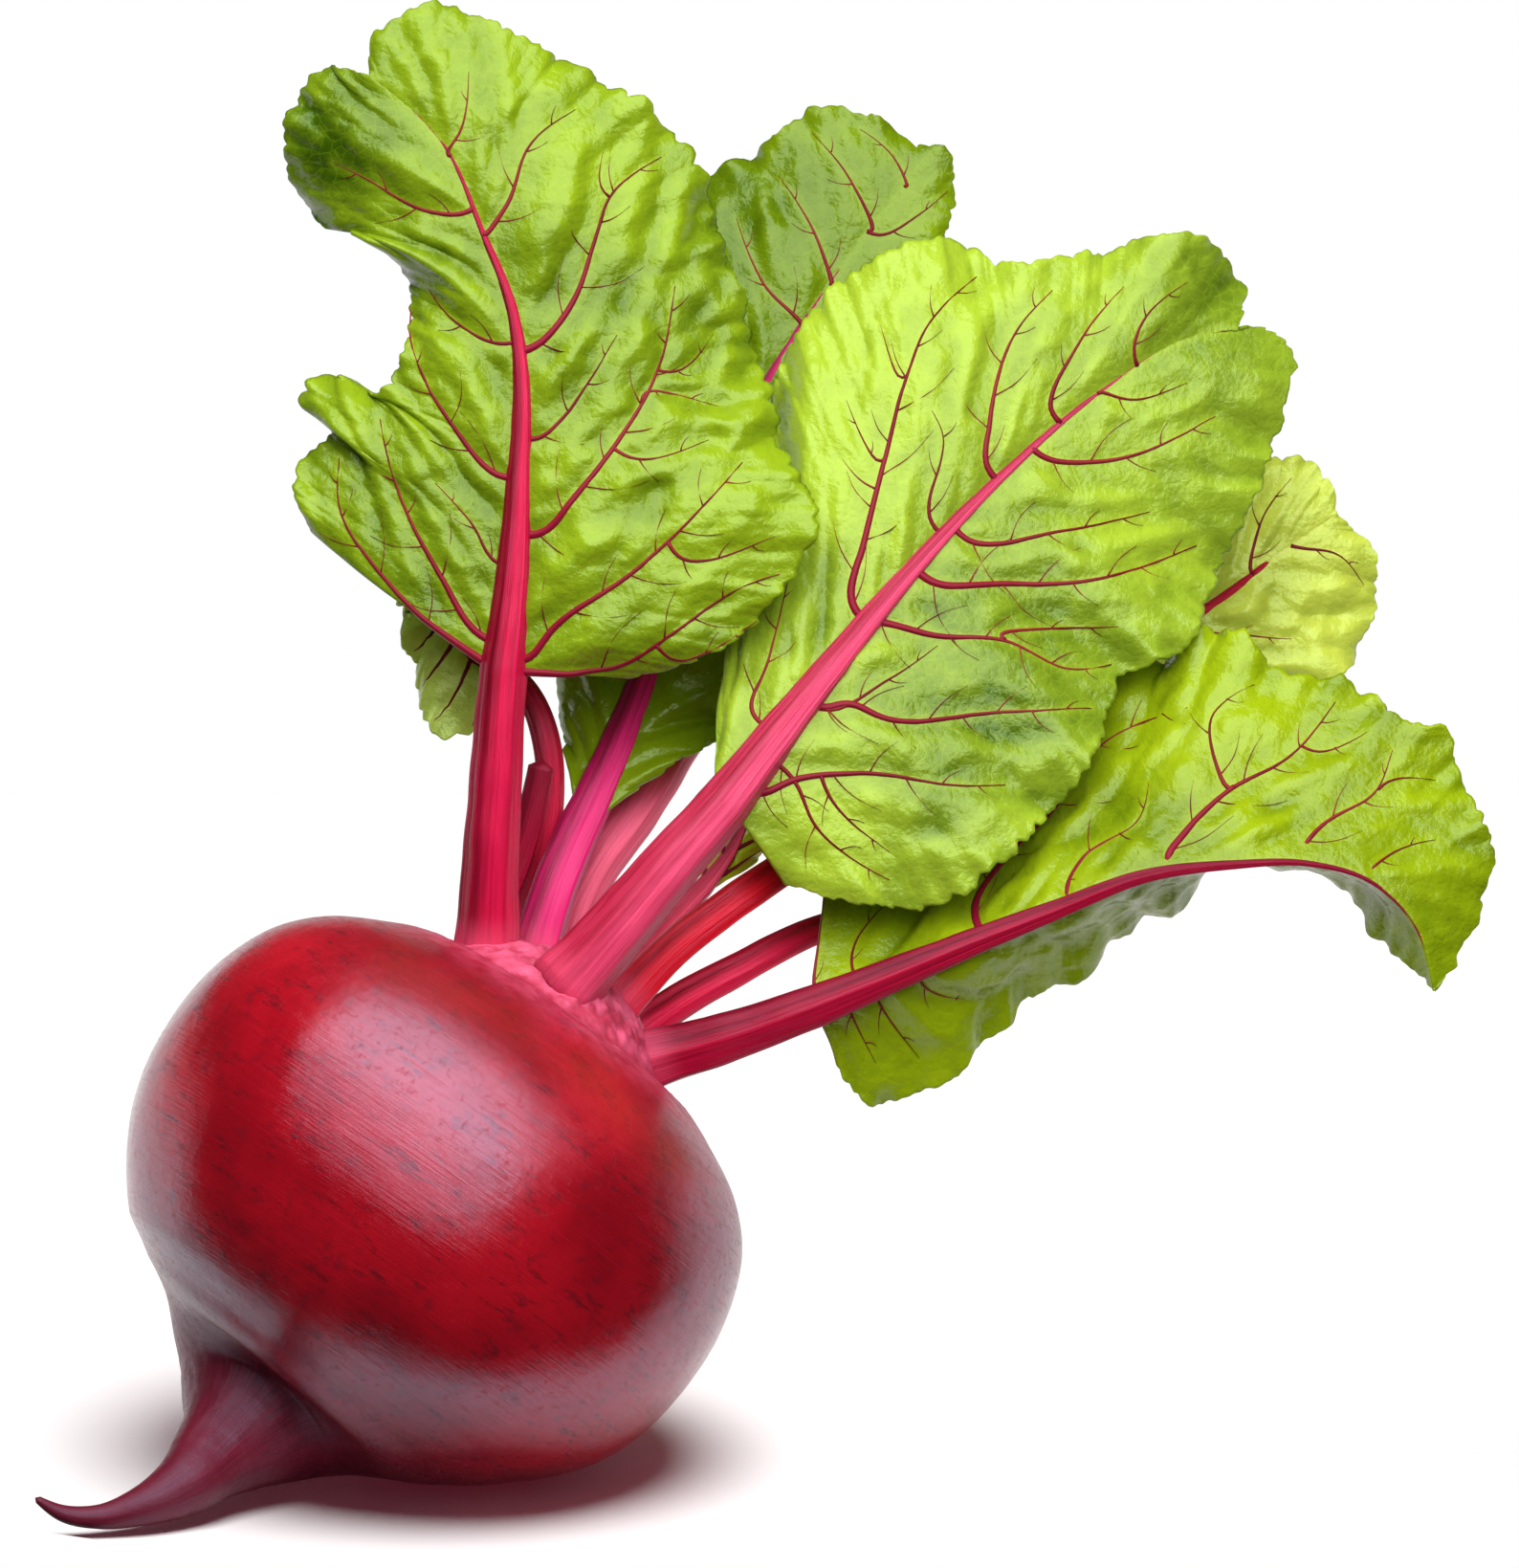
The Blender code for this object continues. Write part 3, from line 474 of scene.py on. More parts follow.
SMALL_LEFT = Leaf(
    name="small_left",
    seat=(-11.3, 8.0),
    stalk=((8.2, 76.5, 6.5), (10.2, 86.0, 6.3), (10.2, 94.5, 6.3), (7.6, 101.8, 6.8)),
    rib=(
        (3.4, 105.6, 7.5), (-0.5, 108.2, 8.5), (-3.6, 112.0, 9.8), (-5.8, 116.8, 10.8),
        (-7.0, 122.0, 11.5),
    ),
    left=(
        (2.6, 99.0, 7.5), (0.0, 96.2, 8.2), (-4.4, 96.4, 9.0), (-7.2, 101.5, 10.0),
        (-8.0, 108.0, 11.0), (-9.6, 115.0, 11.5),
    ),
    right=(
        (5.6, 109.5, 8.5), (4.2, 115.5, 9.8), (0.6, 120.8, 10.8), (-3.6, 123.4, 11.4),
    ),
    girth=(2.2, 1.6, 0.4),
    bulge=(0.08, 0.08),
    ripples=(3.0, 0.8),
    channel_side=-1,
    # Its greens are set light: partly the blade's own pale green, partly painted light, so it shows lit
    # where it stands in shade.
    green=((0.240, 0.360, 0.030), (0.600, 0.740, 0.150)),
    red=((0.297, 0.0026, 0.013), (0.462, 0.0079, 0.040)),
)

YOUNG = Leaf(
    name="young",
    seat=(2.2, 3.8),
    stalk=((24.5, 70.2, 1.5),),
    rib=(
        (30.6, 76.4, 3.6), (34.2, 81.3, 5.2), (36.9, 87.5, 7.0), (40.5, 95.0, 9.0),
        (46.1, 101.6, 12.0),
    ),
    left=(
        (30.6, 81.0, 5.0), (33.0, 87.5, 6.5), (36.5, 94.5, 8.5), (40.5, 100.1, 11.0),
    ),
    right=(
        (36.6, 79.2, 6.4), (40.4, 82.8, 7.5), (43.8, 86.5, 8.0), (46.6, 92.0, 9.5),
        (48.1, 98.1, 11.0),
    ),
    girth=(1.8, 1.3, 0.4),
    bulge=(0.06, 0.06),
    ripples=(2.0, 0.5),
    channel_side=-1,
    green=((0.200, 0.280, 0.004), (0.480, 0.600, 0.020)),
    red=((0.317, 0.0066, 0.026), (0.528, 0.040, 0.086)),
)

LEAVES = (
    TALL_LEFT, BROAD_FRONT, TALL_REAR, LOW_RIGHT, FAR_RIGHT, MID_RIGHT,
    BEHIND_FRONT, SMALL_LEFT, YOUNG,
)


# A short stalk that has lost its leaf.
STUB_SEAT = (-14.2, 4.4)
STUB_PATH = ((6.2, 80.0, 1.6), (8.2, 86.5, 1.4), (9.4, 92.3, 1.2))
STUB_GIRTH = (2.2, 1.7)
STUB_RINGS = 60
STUB_RED = ((0.120, 0.0020, 0.010), (0.300, 0.0053, 0.028))


def world(points):
    """Places in the leaning axes, as points in the part's own frame, in millimetres."""
    return np.asarray(points, float) @ LEANING - FLAT_SPOT


def as_seen(points):
    """Where the camera sees these points, as (right, up) in the plane through the middle."""
    leaning = (points + FLAT_SPOT) @ LEANING.T
    nearness = 1 + leaning[:, 2:] / CAMERA_AWAY
    return (leaning[:, :2] - LOOK_AT[:2]) / nearness + LOOK_AT[:2]


def unit(vectors):
    return vectors / np.linalg.norm(vectors, axis=-1, keepdims=True)


def smooth(points):
    """A dense smooth curve through the points, which may carry more columns than a place."""
    p = np.asarray(points, float)
    if len(p) == 2:
        return p[0] + np.linspace(0, 1, FINE_STEPS)[:, None] * (p[1] - p[0])
    gaps = np.linalg.norm(np.diff(p, axis=0), axis=1)
    slopes = np.empty_like(p)
    steps = np.diff(p, axis=0) / gaps[:, None]
    share = (gaps[:-1] / (gaps[:-1] + gaps[1:]))[:, None]
    slopes[1:-1] = steps[:-1] * (1 - share) + steps[1:] * share
    slopes[0] = 1.5 * steps[0] - 0.5 * slopes[1]
    slopes[-1] = 1.5 * steps[-1] - 0.5 * slopes[-2]
    t = np.linspace(0, 1, FINE_STEPS, endpoint=False)[:, None]
    spans = [
        (2 * t**3 - 3 * t**2 + 1) * p[i]
        + (t**3 - 2 * t**2 + t) * gaps[i] * slopes[i]
        + (3 * t**2 - 2 * t**3) * p[i + 1]
        + (t**3 - t**2) * gaps[i] * slopes[i + 1]
        for i in range(len(gaps))
    ]
    return np.vstack(spans + [p[-1:]])


def sampled(points, shares):
    """The smooth curve through the points, at these shares of its length."""
    curve = smooth(points)
    along = lengths(curve)
    wanted = np.asarray(shares) * along[-1]
    return np.stack([np.interp(wanted, along, column) for column in curve.T], axis=1)


def lengths(curve):
    """The distance along a curve at each of its points."""
    return np.concatenate(([0.0], np.cumsum(np.linalg.norm(np.diff(curve, axis=0), axis=1))))


def tangents(points):
    return unit(np.gradient(points, axis=0))


def step(values, low, high):
    """Rises smoothly from 0 at low to 1 at high."""
    t = np.clip((values - low) / (high - low), 0, 1)
    return t * t * (3 - 2 * t)


def rough(points, size, seed):
    """Smooth random values between about -1 and 1, that change over this size."""
    shift = Vector((seed * 7.3, seed * 3.1, seed * 5.7))
    flat = np.asarray(points, float).reshape(-1, 3) / size
    return np.array([noise.noise(Vector(p) + shift) for p in flat]).reshape(np.shape(points)[:-1])


def along_noise(along, size, seed):
    """Smooth random values along a line, that change over this distance."""
    return rough(np.stack([along, along * 0, along * 0], -1), size, seed)


def put_in_scene(name, data):
    """A new object over this mesh, lamp or camera."""
    thing = bpy.data.objects.new(name, data)
    bpy.context.scene.collection.objects.link(thing)
    return thing


def add_piece(name, points, faces, material, node, fields=None, places=None):
    """A shown piece from points in millimetres, with named values and flat places on its points."""
    mesh = bpy.data.meshes.new(name)
    mesh.from_pydata((np.asarray(points) * MM).tolist(), [], faces)
    for field, values in (fields or {}).items():
        mesh.attributes.new(field, "FLOAT", "POINT").data.foreach_set("value", np.asarray(values, float))
    if places is not None:
        corners = np.empty(len(mesh.loops), int)
        mesh.loops.foreach_get("vertex_index", corners)
        mesh.uv_layers.new(name="places").data.foreach_set("uv", np.asarray(places)[corners].ravel())
    mesh.materials.append(material)
    mesh.shade_smooth()
    piece = put_in_scene(name, mesh)
    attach(piece, "root")
    if node:
        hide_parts(node)
    return piece


def ring_ways(heading):
    """For rings along a path: the way towards the viewer and the way across."""
    front = -LEANING[2]
    facing = unit(front - heading * (heading @ front)[:, None])
    return facing, np.cross(heading, facing)


def flat_places(around, along):
    """Places for every point of a closed skin: how far round it, and how far along."""
    rows = np.stack(np.meshgrid(around, along), axis=-1).reshape(-1, 2)
    return np.vstack([rows, (0, 0), (0, along[-1])])


def skin(rings, first_point, last_point):
    """Points and faces of a closed skin over rings of equal size, with a point at each end."""
    count, sides = rings.shape[:2]
    points = np.vstack([rings.reshape(-1, 3), first_point, last_point])
    faces = []
    for side in range(sides):
        following = (side + 1) % sides
        for ring in range(count - 1):
            low, high = ring * sides, (ring + 1) * sides
            faces.append((low + side, low + following, high + following, high + side))
        faces.append((following, side, count * sides))
        top = (count - 1) * sides
        faces.append((top + side, top + following, count * sides + 1))
    return points, faces


def root_axes():
    """The root's centre, its axis towards the crown, and the directions across and behind."""
    axis = unit(np.array(ROOT_AXIS) @ LEANING)
    back = LEANING[2]
    behind = unit(back - axis * (back @ axis))
    return world(ROOT_CENTRE), axis, np.cross(behind, axis), behind


def crown_height(radius):
    """How far along the axis the crown's dome stands, this far from the axis."""
    return CROWN_TOP - (CROWN_TOP - CROWN_FOOT) * (radius / CROWN_RADIUS) ** 2


def root_rings():
    """The root's rings from the crown to the tail's tip, and the path's heading at its end."""
    centre, axis, across, _ = root_axes()
    dome_radii = CROWN_RADIUS * np.arange(1, CROWN_RINGS) / CROWN_RINGS
    dome = np.array([(*(centre + axis * crown_height(r)), r) for r in dome_radii])
    belly = [(*(centre + axis * height), radius) for height, radius in BELLY]
    tail = [(*world(place), radius) for *place, radius in TAIL]
    below = sampled(belly + tail, np.linspace(0, 1, BELLY_RINGS))
    stations = np.vstack([dome, below])
    along = np.vstack([np.repeat(-axis[None], len(dome), axis=0), tangents(below[:, :3])])
    angle = np.linspace(0, 2 * math.pi, ROOT_SIDES, endpoint=False)
    rings = []
    for place, radius, path in zip(stations[:, :3], stations[:, 3], along):
        turn = np.clip(((centre - place) @ axis - NECK[0]) / (NECK[1] - NECK[0]), 0, 1)
        heading = unit(path * turn - axis * (1 - turn))
        across = unit(across - heading * (across @ heading))
        sideways = np.cross(across, heading)
        circle = np.outer(np.cos(angle), across) + np.outer(np.sin(angle), sideways)
        rings.append(place + radius * circle)
    return np.array(rings), stations, heading


def make_root(material):
    """The root's skin: lumps on the belly, a corky crown, and grooves and wrinkles on the tail."""
    centre, axis, _, _ = root_axes()
    rings, stations, heading = root_rings()
    places, radii = stations[:, :3], stations[:, 3]
    depth = (centre - places) @ axis
    travelled = lengths(places)
    outward = unit(rings - places[:, None])
    angle = np.linspace(0, 2 * math.pi, ROOT_SIDES, endpoint=False)
    tail = step(depth, *TAIL_SKIN)[:, None] * np.ones(ROOT_SIDES)
    crown = step(-depth, *CROWN_SKIN)[:, None] * np.ones(ROOT_SIDES)
    stretched = np.stack(
        [
            np.cos(angle)[None] * radii[:, None] / GROOVE_WIDTH,
            np.sin(angle)[None] * radii[:, None] / GROOVE_WIDTH,
            np.repeat(travelled[:, None] / GROOVE_LENGTH, ROOT_SIDES, axis=1),
        ],
        axis=-1,
    )
    lumps = sum(high * rough(rings, size, seed) for high, size, seed in ROOT_LUMPS)
    groove_depth = np.minimum(GROOVE_DEPTH * radii, DEEPEST_GROOVE)[:, None]
    grooves = rough(stretched, 1.0, 4) * tail * groove_depth
    wrinkled = stretched * (1 / CREASE_TURN, 1 / CREASE_TURN, CREASE_TURN)
    creases = sum(high * rough(wrinkled, size, seed) for high, size, seed in TAIL_CREASES) * tail
    creases *= step(radii, *CREASES_END)[:, None]
    cork = sum(high * rough(rings, size, seed) for high, size, seed in CROWN_LUMPS) * crown
    thin = step(radii, *LUMPS_END)[:, None]
    rings = rings + outward * ((lumps + cork) * thin + grooves + creases)[..., None]
    rings += axis * (cork * crown * CORK_RISES)[..., None]
    rings[..., 2] = np.maximum(rings[..., 2], 0.0)
    top = centre + axis * CROWN_TOP
    tip = places[-1] + heading * radii[-1]
    points, faces = skin(rings, top, tip)
    fields = {
        "tail": np.append(tail.ravel(), (0, 1)),
        "crown": np.append(crown.ravel(), (1, 0)),
        "shoulder": np.append(np.repeat(step(-depth, *SHOULDER), ROOT_SIDES), (1, 0)),
    }
    places = flat_places(angle * ROOT_RADIUS, travelled)
    return add_piece("root_skin", points, faces, material, "root", fields, places)


def seat_point(seat):
    """The middle of a stalk's foot on the crown's dome."""
    centre, axis, across, behind = root_axes()
    return centre + axis * crown_height(math.hypot(*seat)) + across * seat[0] + behind * seat[1]


def rib_girth(leaf, shares):
    """Half widths of the midrib along the blade."""
    _, base, end = leaf.girth
    tapered = np.clip(1 - shares / RIB_TAPERS_TO, 0, 1) ** RIB_TAPER
    return end * (1 - RIB_TIP_THINS * shares) + (base - end) * tapered


def stalk_skin(name, centres, widths, number, channel_side, material):
    """A stalk over these rings, with ridges along it and a foot that spreads on the crown."""
    heading = tangents(centres)
    centres = np.vstack([centres[:1] - heading[:1] * FOOT_SINKS, centres])
    heading = np.vstack([heading[:1], heading])
    travelled = lengths(centres)
    widths = np.append(widths[:1], widths) * (1 + FOOT_SPREAD * np.exp(-travelled / FOOT_SPREAD_REACH))
    facing, sideways = ring_ways(heading)
    angle = np.linspace(0, 2 * math.pi, STALK_SIDES, endpoint=False)
    u, v = np.cos(angle), np.sin(angle)
    hollow = 1 - CHANNEL_DEPTH * np.clip(-channel_side * v, 0, 1) ** 4
    ridges = 1 + sum(high * np.cos(many * angle + turn * number) for many, turn, high in STALK_RIDGES)
    rings = centres[:, None] + widths[:, None, None] * (
        (u * ridges)[None, :, None] * sideways[:, None]
        + (v * hollow * ridges * STALK_DEPTH)[None, :, None] * facing[:, None]
    )
    rings += (rings - centres[:, None]) * (WANDER * rough(rings, WANDER_SIZE, 20 + number))[..., None]
    tip = centres[-1] + heading[-1] * widths[-1] * ROUND_TIP
    points, faces = skin(rings, centres[0], tip)
    fields = {
        "reach": np.append(np.repeat(travelled / travelled[-1], STALK_SIDES), (0, 1)),
        "height": np.append(np.repeat(travelled, STALK_SIDES), (0, travelled[-1])),
        # How far round towards the right each point lies; the look uses it to paint that side lighter,
        # as painted light.
        "side": np.append(np.tile(0.5 + 0.5 * u, len(rings)), (0.5, 0.5)),
    }
    flat = flat_places(angle * STALK_RADIUS, travelled)
    add_piece(name + "_skin", points, faces, material, name, fields, flat)


def make_stalk(leaf, number, material):
    """The leaf's stalk, that runs on as its midrib."""
    rib = sampled(world(leaf.rib), np.linspace(0, RIB_REACHES, RIB_RINGS))
    foot_path = np.vstack([seat_point(leaf.seat), world(leaf.stalk), rib[0]])
    foot = sampled(foot_path, np.linspace(0, 1, FOOT_RINGS + 1))[:-1]
    foot_widths = np.linspace(leaf.girth[0], leaf.girth[1], FOOT_RINGS + 1)[:-1]
    widths = np.concatenate([foot_widths, rib_girth(leaf, np.linspace(0, 1, RIB_RINGS))])
    name = "stalk_" + leaf.name
    stalk_skin(name, np.vstack([foot, rib]), widths, number, leaf.channel_side, material)


def make_stub(material):
    """The short stalk without a leaf."""
    path = np.vstack([seat_point(STUB_SEAT), world(STUB_PATH)])
    centres = sampled(path, np.linspace(0, 1, STUB_RINGS))
    stalk_skin("stalk_stub", centres, np.linspace(*STUB_GIRTH, STUB_RINGS), len(LEAVES), 1, material)


def half_blade(leaf, number, edge, mirror, bulge):
    """One half of the blade's middle surface, as rows of points from the midrib to the edge."""
    shares = np.linspace(0, 1, BLADE_ROWS + 1)
    rib, rim = sampled(world(leaf.rib), shares), sampled(world(edge + leaf.rib[-1:]), shares)
    heading = tangents(rib)
    across = rim - rib
    across[-1] = across[-2]
    out = unit(across - heading * np.sum(across * heading, axis=1, keepdims=True))
    normal = np.cross(heading, out) * mirror
    beside = BLADE_STARTS * rib_girth(leaf, shares) * (1 - step(shares, *RIB_ENDS))
    inner = rib + out * beside[:, None]
    along = lengths(rim)
    seed = 40 + 2 * number + mirror
    ends = step(shares, *TEETH_BEGIN) * (1 - step(shares, *TEETH_END))
    teeth = TOOTH_HEIGHT * np.abs(along_noise(along, TOOTH_LENGTH, seed)) ** 0.6 - TOOTH_DEPTH
    reach = teeth + NICK_HEIGHT * along_noise(along, NICK_LENGTH, seed + 9)
    rim = rim + unit(across) * (reach * ends)[:, None]
    v = np.linspace(0, 1, BLADE_COLUMNS + 1)[None, :, None]
    length = np.linalg.norm(rim - inner, axis=1)[:, None, None]
    count, height = leaf.ripples
    fade = np.sin(math.pi * np.clip(shares, 0, 1)) ** 0.5
    wave = height * fade * np.sin(2 * math.pi * count * shares + mirror)
    frill = fade * sum(high * along_noise(along, long, seed + more) for high, long, more in FRILLS)
    lift = bulge * length * 4 * v * (1 - v) + wave[:, None, None] * v**1.5 + frill[:, None, None] * v**4
    return inner[:, None] * (1 - v) + rim[:, None] * v + normal[:, None] * lift, normal


def vein_distance(points, paths):
    """How far each point of a surface is from the nearest vein."""
    tree = tree_of(np.vstack(paths))
    return np.array([tree.find(p)[2] for p in points])


def generic_veins(leaf, halves):
    """Side veins for a leaf that hardly shows: arcs from the midrib towards the edge."""
    paths = []
    v = np.linspace(0, PLAIN_VEIN_REACH, 30)
    for (surface, _), shift in zip(halves, (0.0, PLAIN_VEIN_SHIFT)):
        for start in np.arange(PLAIN_VEINS[0] + shift, *PLAIN_VEINS[1:]):
            row = np.clip((start + PLAIN_VEIN_RISE * v**1.5) * BLADE_ROWS, 0, BLADE_ROWS).astype(int)
            paths.append(surface[row, (v * BLADE_COLUMNS).astype(int)])
    return paths


def twigs(vein, draw):
    """Small veins that leave a side vein on alternate sides, as (right, up)."""
    found = []
    long = lengths(np.array(vein))[-1]
    if long < TWIG_MIN:
        return found
    count = int(long / TWIG_SPACING)
    shares = (np.arange(count) + 0.7) / (count + 0.4)
    places = sampled(vein, shares)
    ways = tangents(sampled(vein, np.linspace(0, 1, 40)))[(shares * 39).astype(int)]
    for number, (place, way) in enumerate(zip(places, ways)):
        side = 1 if number % 2 else -1
        longest = min(TWIG_LONGEST, TWIG_REACH * long * (1.15 - shares[number]))
        reach = draw.uniform(*TWIG_VARIES) * longest
        turn = side * math.radians(draw.uniform(*TWIG_TURNS))
        cos, sin = math.cos(turn), math.sin(turn)
        start = np.array([way[0] * cos - way[1] * sin, way[0] * sin + way[1] * cos])
        end = unit(start + TWIG_BENDS * way)
        middle, tip = place + start * reach * 0.5, place + (start * 0.5 + end * 0.5) * reach
        found.append((tuple(place), tuple(middle), tuple(tip)))
    return found


def joined(vein, rib, earlier):
    """The vein, begun on the midrib, or on the earlier vein that it starts close to."""
    for line, reach in [(rib, JOINS_RIB)] + [(other, JOINS_VEIN) for other in earlier]:
        away = np.linalg.norm(line - vein[0], axis=1)
        if away.min() < reach:
            return (tuple(line[away.argmin()]),) + vein
    return vein


def lay_on(flat, tree, vein, stops=False):
    """A side vein's seen path, laid on the blade's surface; it may stop where the blade does."""
    path_length = sum(math.dist(a, b) for a, b in zip(vein, vein[1:]))
    path = []
    for x, up in sampled(vein, np.linspace(0, 1, max(8, int(path_length / VEIN_STEP)))):
        near = tree.find_n((x, up, 0.0), 4)
        if stops and near[0][2] > OFF_BLADE:
            break
        weights = np.array([1 / (0.05 + distance) for _, _, distance in near])
        path.append(np.average(flat[[i for _, i, _ in near]], axis=0, weights=weights))
    return eased(np.array(path)) if len(path) >= SHORTEST_PATH else None


def eased(path):
    """The path with its small kinks taken out. It is changed in place."""
    for _ in range(3):
        path[1:-1] = (path[:-2] + 2 * path[1:-1] + path[2:]) / 4
    return path


def tree_of(points):
    """The points, ready to be searched for the nearest one."""
    tree = kdtree.KDTree(len(points))
    for i, place in enumerate(points):
        tree.insert(place, i)
    tree.balance()
    return tree


def vein_paths(leaf, number, flat, halves):
    """The side veins with their twigs, each as points on the blade and its half width at the start."""
    if not leaf.veins:
        return [(path, PLAIN_VEIN) for path in generic_veins(leaf, halves)]
    draw = random.Random(number)
    seen = as_seen(flat)
    tree = tree_of(np.column_stack([seen, np.zeros(len(seen))]))
    found, earlier = [], []
    rib = as_seen(sampled(world(leaf.rib), np.linspace(0, 1, 200)))
    for drawn in leaf.veins:
        vein = joined(drawn, rib, earlier)
        earlier.append(sampled(vein, np.linspace(0, 1, 60)))
        found.append((lay_on(flat, tree, vein), vein_girth(drawn)))
        found += [(lay_on(flat, tree, twig, stops=True), TWIG_GIRTH) for twig in twigs(vein, draw)]
    return [(path, girth) for path, girth in found if path is not None]


def vein_girth(vein):
    """A side vein's half width where it leaves the midrib: more for a longer one."""
    return min(WIDEST_VEIN, THIN_VEIN + VEIN_WIDENS * lengths(np.array(vein))[-1])


def make_veins(leaf, paths, material):
    """Side veins that stand out of both faces of the blade and taper along their way."""
    angle = np.linspace(0, 2 * math.pi, VEIN_SIDES, endpoint=False)
    points, faces, reaches = [], [], []
    for path, girth in paths:
        heading = tangents(path)
        facing, sideways = ring_ways(heading)
        share = np.linspace(0, 1, len(path))
        width = girth * (1 - VEIN_THINS * share**0.8)
        depth = BLADE_THICKNESS / 2 + VEIN_RISE + VEIN_DEPTH * width
        rings = (
            path[:, None]
            + width[:, None, None] * np.cos(angle)[None, :, None] * sideways[:, None]
            + depth[:, None, None] * np.sin(angle)[None, :, None] * facing[:, None]
        )
        tube, tube_faces = skin(rings, path[0], path[-1])
        start = sum(len(p) for p in points)
        points.append(tube)
        faces += [tuple(start + i for i in face) for face in tube_faces]
        redness = np.clip(width / REDDEST_VEIN, 0, 1)
        reaches.append(np.append(np.repeat(redness, VEIN_SIDES), (redness[0], redness[-1])))
    fields = {"redness": np.concatenate(reaches)}
    add_piece("veins_" + leaf.name, np.vstack(points), faces, material, None, fields)


def make_blade(leaf, number, material, vein_material):
    """The leaf's blade, puffed up between its veins, with a toothed and frilled edge."""
    halves = [
        half_blade(leaf, number, leaf.left, 1, leaf.bulge[0]),
        half_blade(leaf, number, leaf.right, -1, leaf.bulge[1]),
    ]
    width = BLADE_COLUMNS + 1
    surface = np.concatenate([halves[0][0][:, ::-1], halves[1][0]], axis=1)
    normal = np.concatenate([np.repeat(n[:, None], width, axis=1) for _, n in halves], axis=1)
    flat = surface.reshape(-1, 3)
    paths = vein_paths(leaf, number, flat, halves)
    rib = sampled(world(leaf.rib), np.linspace(0, 1, 120))
    main_veins = [path for path, girth in paths if girth > TWIG_GIRTH]
    away = vein_distance(flat, main_veins + [rib]).reshape(surface.shape[:2])
    twig_away = vein_distance(flat, [path for path, _ in paths] + [rib]).reshape(surface.shape[:2])
    calm = np.sin(math.pi * np.linspace(0.0, 1.0, BLADE_ROWS + 1) ** 0.6)[:, None] ** 0.5
    lift = leaf.relief * pucker(surface, away, twig_away, number) * calm
    lifted = surface + normal * lift[..., None]
    rows, columns = surface.shape[:2]
    points = lifted.reshape(-1, 3)
    faces = grid_faces(rows, columns)
    fields = {
        "near_vein": np.exp(-((away / 0.9) ** 2)).ravel(),
        # Painted shade and highlight: the blade's colour is darker where it dips and lighter where it
        # puffs up.
        "painted_relief_shade": np.clip(0.5 + lift / (2.0 * leaf.relief), 0, 1).ravel(),
        "tone_and_painted_shade": tone_and_painted_shade(leaf, as_seen(flat)),
    }
    name = "blade_" + leaf.name
    places = as_seen(points)
    blade = add_piece(name + "_skin", points, faces, material, name, fields, places)
    sheet = blade.modifiers.new("thickness", "SOLIDIFY")
    sheet.thickness = BLADE_THICKNESS * MM
    sheet.offset = 0.0
    tree = tree_of(flat)
    lifted_paths = []
    for path, girth in paths:
        nearest = [tree.find(p)[1] for p in path]
        lifted_paths.append((path + eased(points[nearest] - flat[nearest]), girth))
    make_veins(leaf, lifted_paths, vein_material)


def tone_and_painted_shade(leaf, seen):
    """How much lighter or darker the blade is at each point, from its broad patches: partly its own
    colour, partly painted shade and painted highlight.
    """
    change = np.zeros(len(seen))
    for right, up, size, amount in leaf.patches:
        away = np.linalg.norm(seen - (right, up), axis=1) / size
        change += amount * np.exp(-(away**2))
    return change


def grid_faces(rows, columns):
    """Faces over rows of points, all of one length."""
    faces = []
    for row in range(rows - 1):
        for column in range(columns - 1):
            low, high = row * columns + column, (row + 1) * columns + column
            faces.append((low, low + 1, high + 1, high))
    return faces


def side_folds(surface, number):
    """Folds that run from the midrib to the edge and lean forward, as the side veins do."""
    rib = surface[:, BLADE_COLUMNS]
    along = lengths(rib)[:, None]
    across = np.linalg.norm(surface - rib[:, None], axis=2)
    signed = across * np.where(np.arange(surface.shape[1]) < BLADE_COLUMNS, -1.0, 1.0)
    wide, long = SIDE_FOLD_SIZE
    leaned = (along - SIDE_FOLD_LEAN * across) / wide
    places = np.stack([leaned, signed / long, 0 * across], axis=-1)
    return rough(places, 1.0, 120 + number)


def pucker(surface, away, twig_away, number):
    """How far the blade stands off its middle surface: puffed up between veins, and crumpled."""
    rises = [1 - np.exp(-((d / far) ** 2)) for d, (_, far) in ((away, PUFF), (twig_away, SMALL_PUFF))]
    folds = sum(high * rough(surface, size, seed + number) for high, size, seed in FOLDS)
    folds += SIDE_FOLD_HEIGHT * side_folds(surface, number)
    quilt = QUILT_RISE - QUILT_DEPTH * np.abs(rough(surface, QUILT_SIZE, 60 + number))
    grain = GRAIN_HEIGHT * rough(surface, GRAIN_SIZE, 90 + number)
    return ((PUFF[0] + folds + quilt) * rises[0] + SMALL_PUFF[0] * rises[1] + grain) * RELIEF


# Colours are darker first where there are two.
ROOT_RED = ((0.175, 0.0012, 0.0050), (0.330, 0.0025, 0.0090))
TAIL_RED = ((0.060, 0.004, 0.011), (0.150, 0.007, 0.021))
CROWN_RED = ((0.34, 0.008, 0.034), (0.62, 0.070, 0.15))
FOOT_RED = (0.58, 0.06, 0.13)
RIB_TIP_RED = (0.150, 0.006, 0.018)
SMALL_VEIN_RED = ((0.075, 0.005, 0.003), (0.190, 0.026, 0.014))
VEIN_RED = (0.190, 0.004, 0.019)
FLOOR_WHITE = (0.92, 0.92, 0.92)
# Painted light: the floor's faint red glow, which tints its shade pink as red light thrown off the root
# would.
FLOOR_PAINTED_BOUNCE = (1.0, 0.12, 0.24)

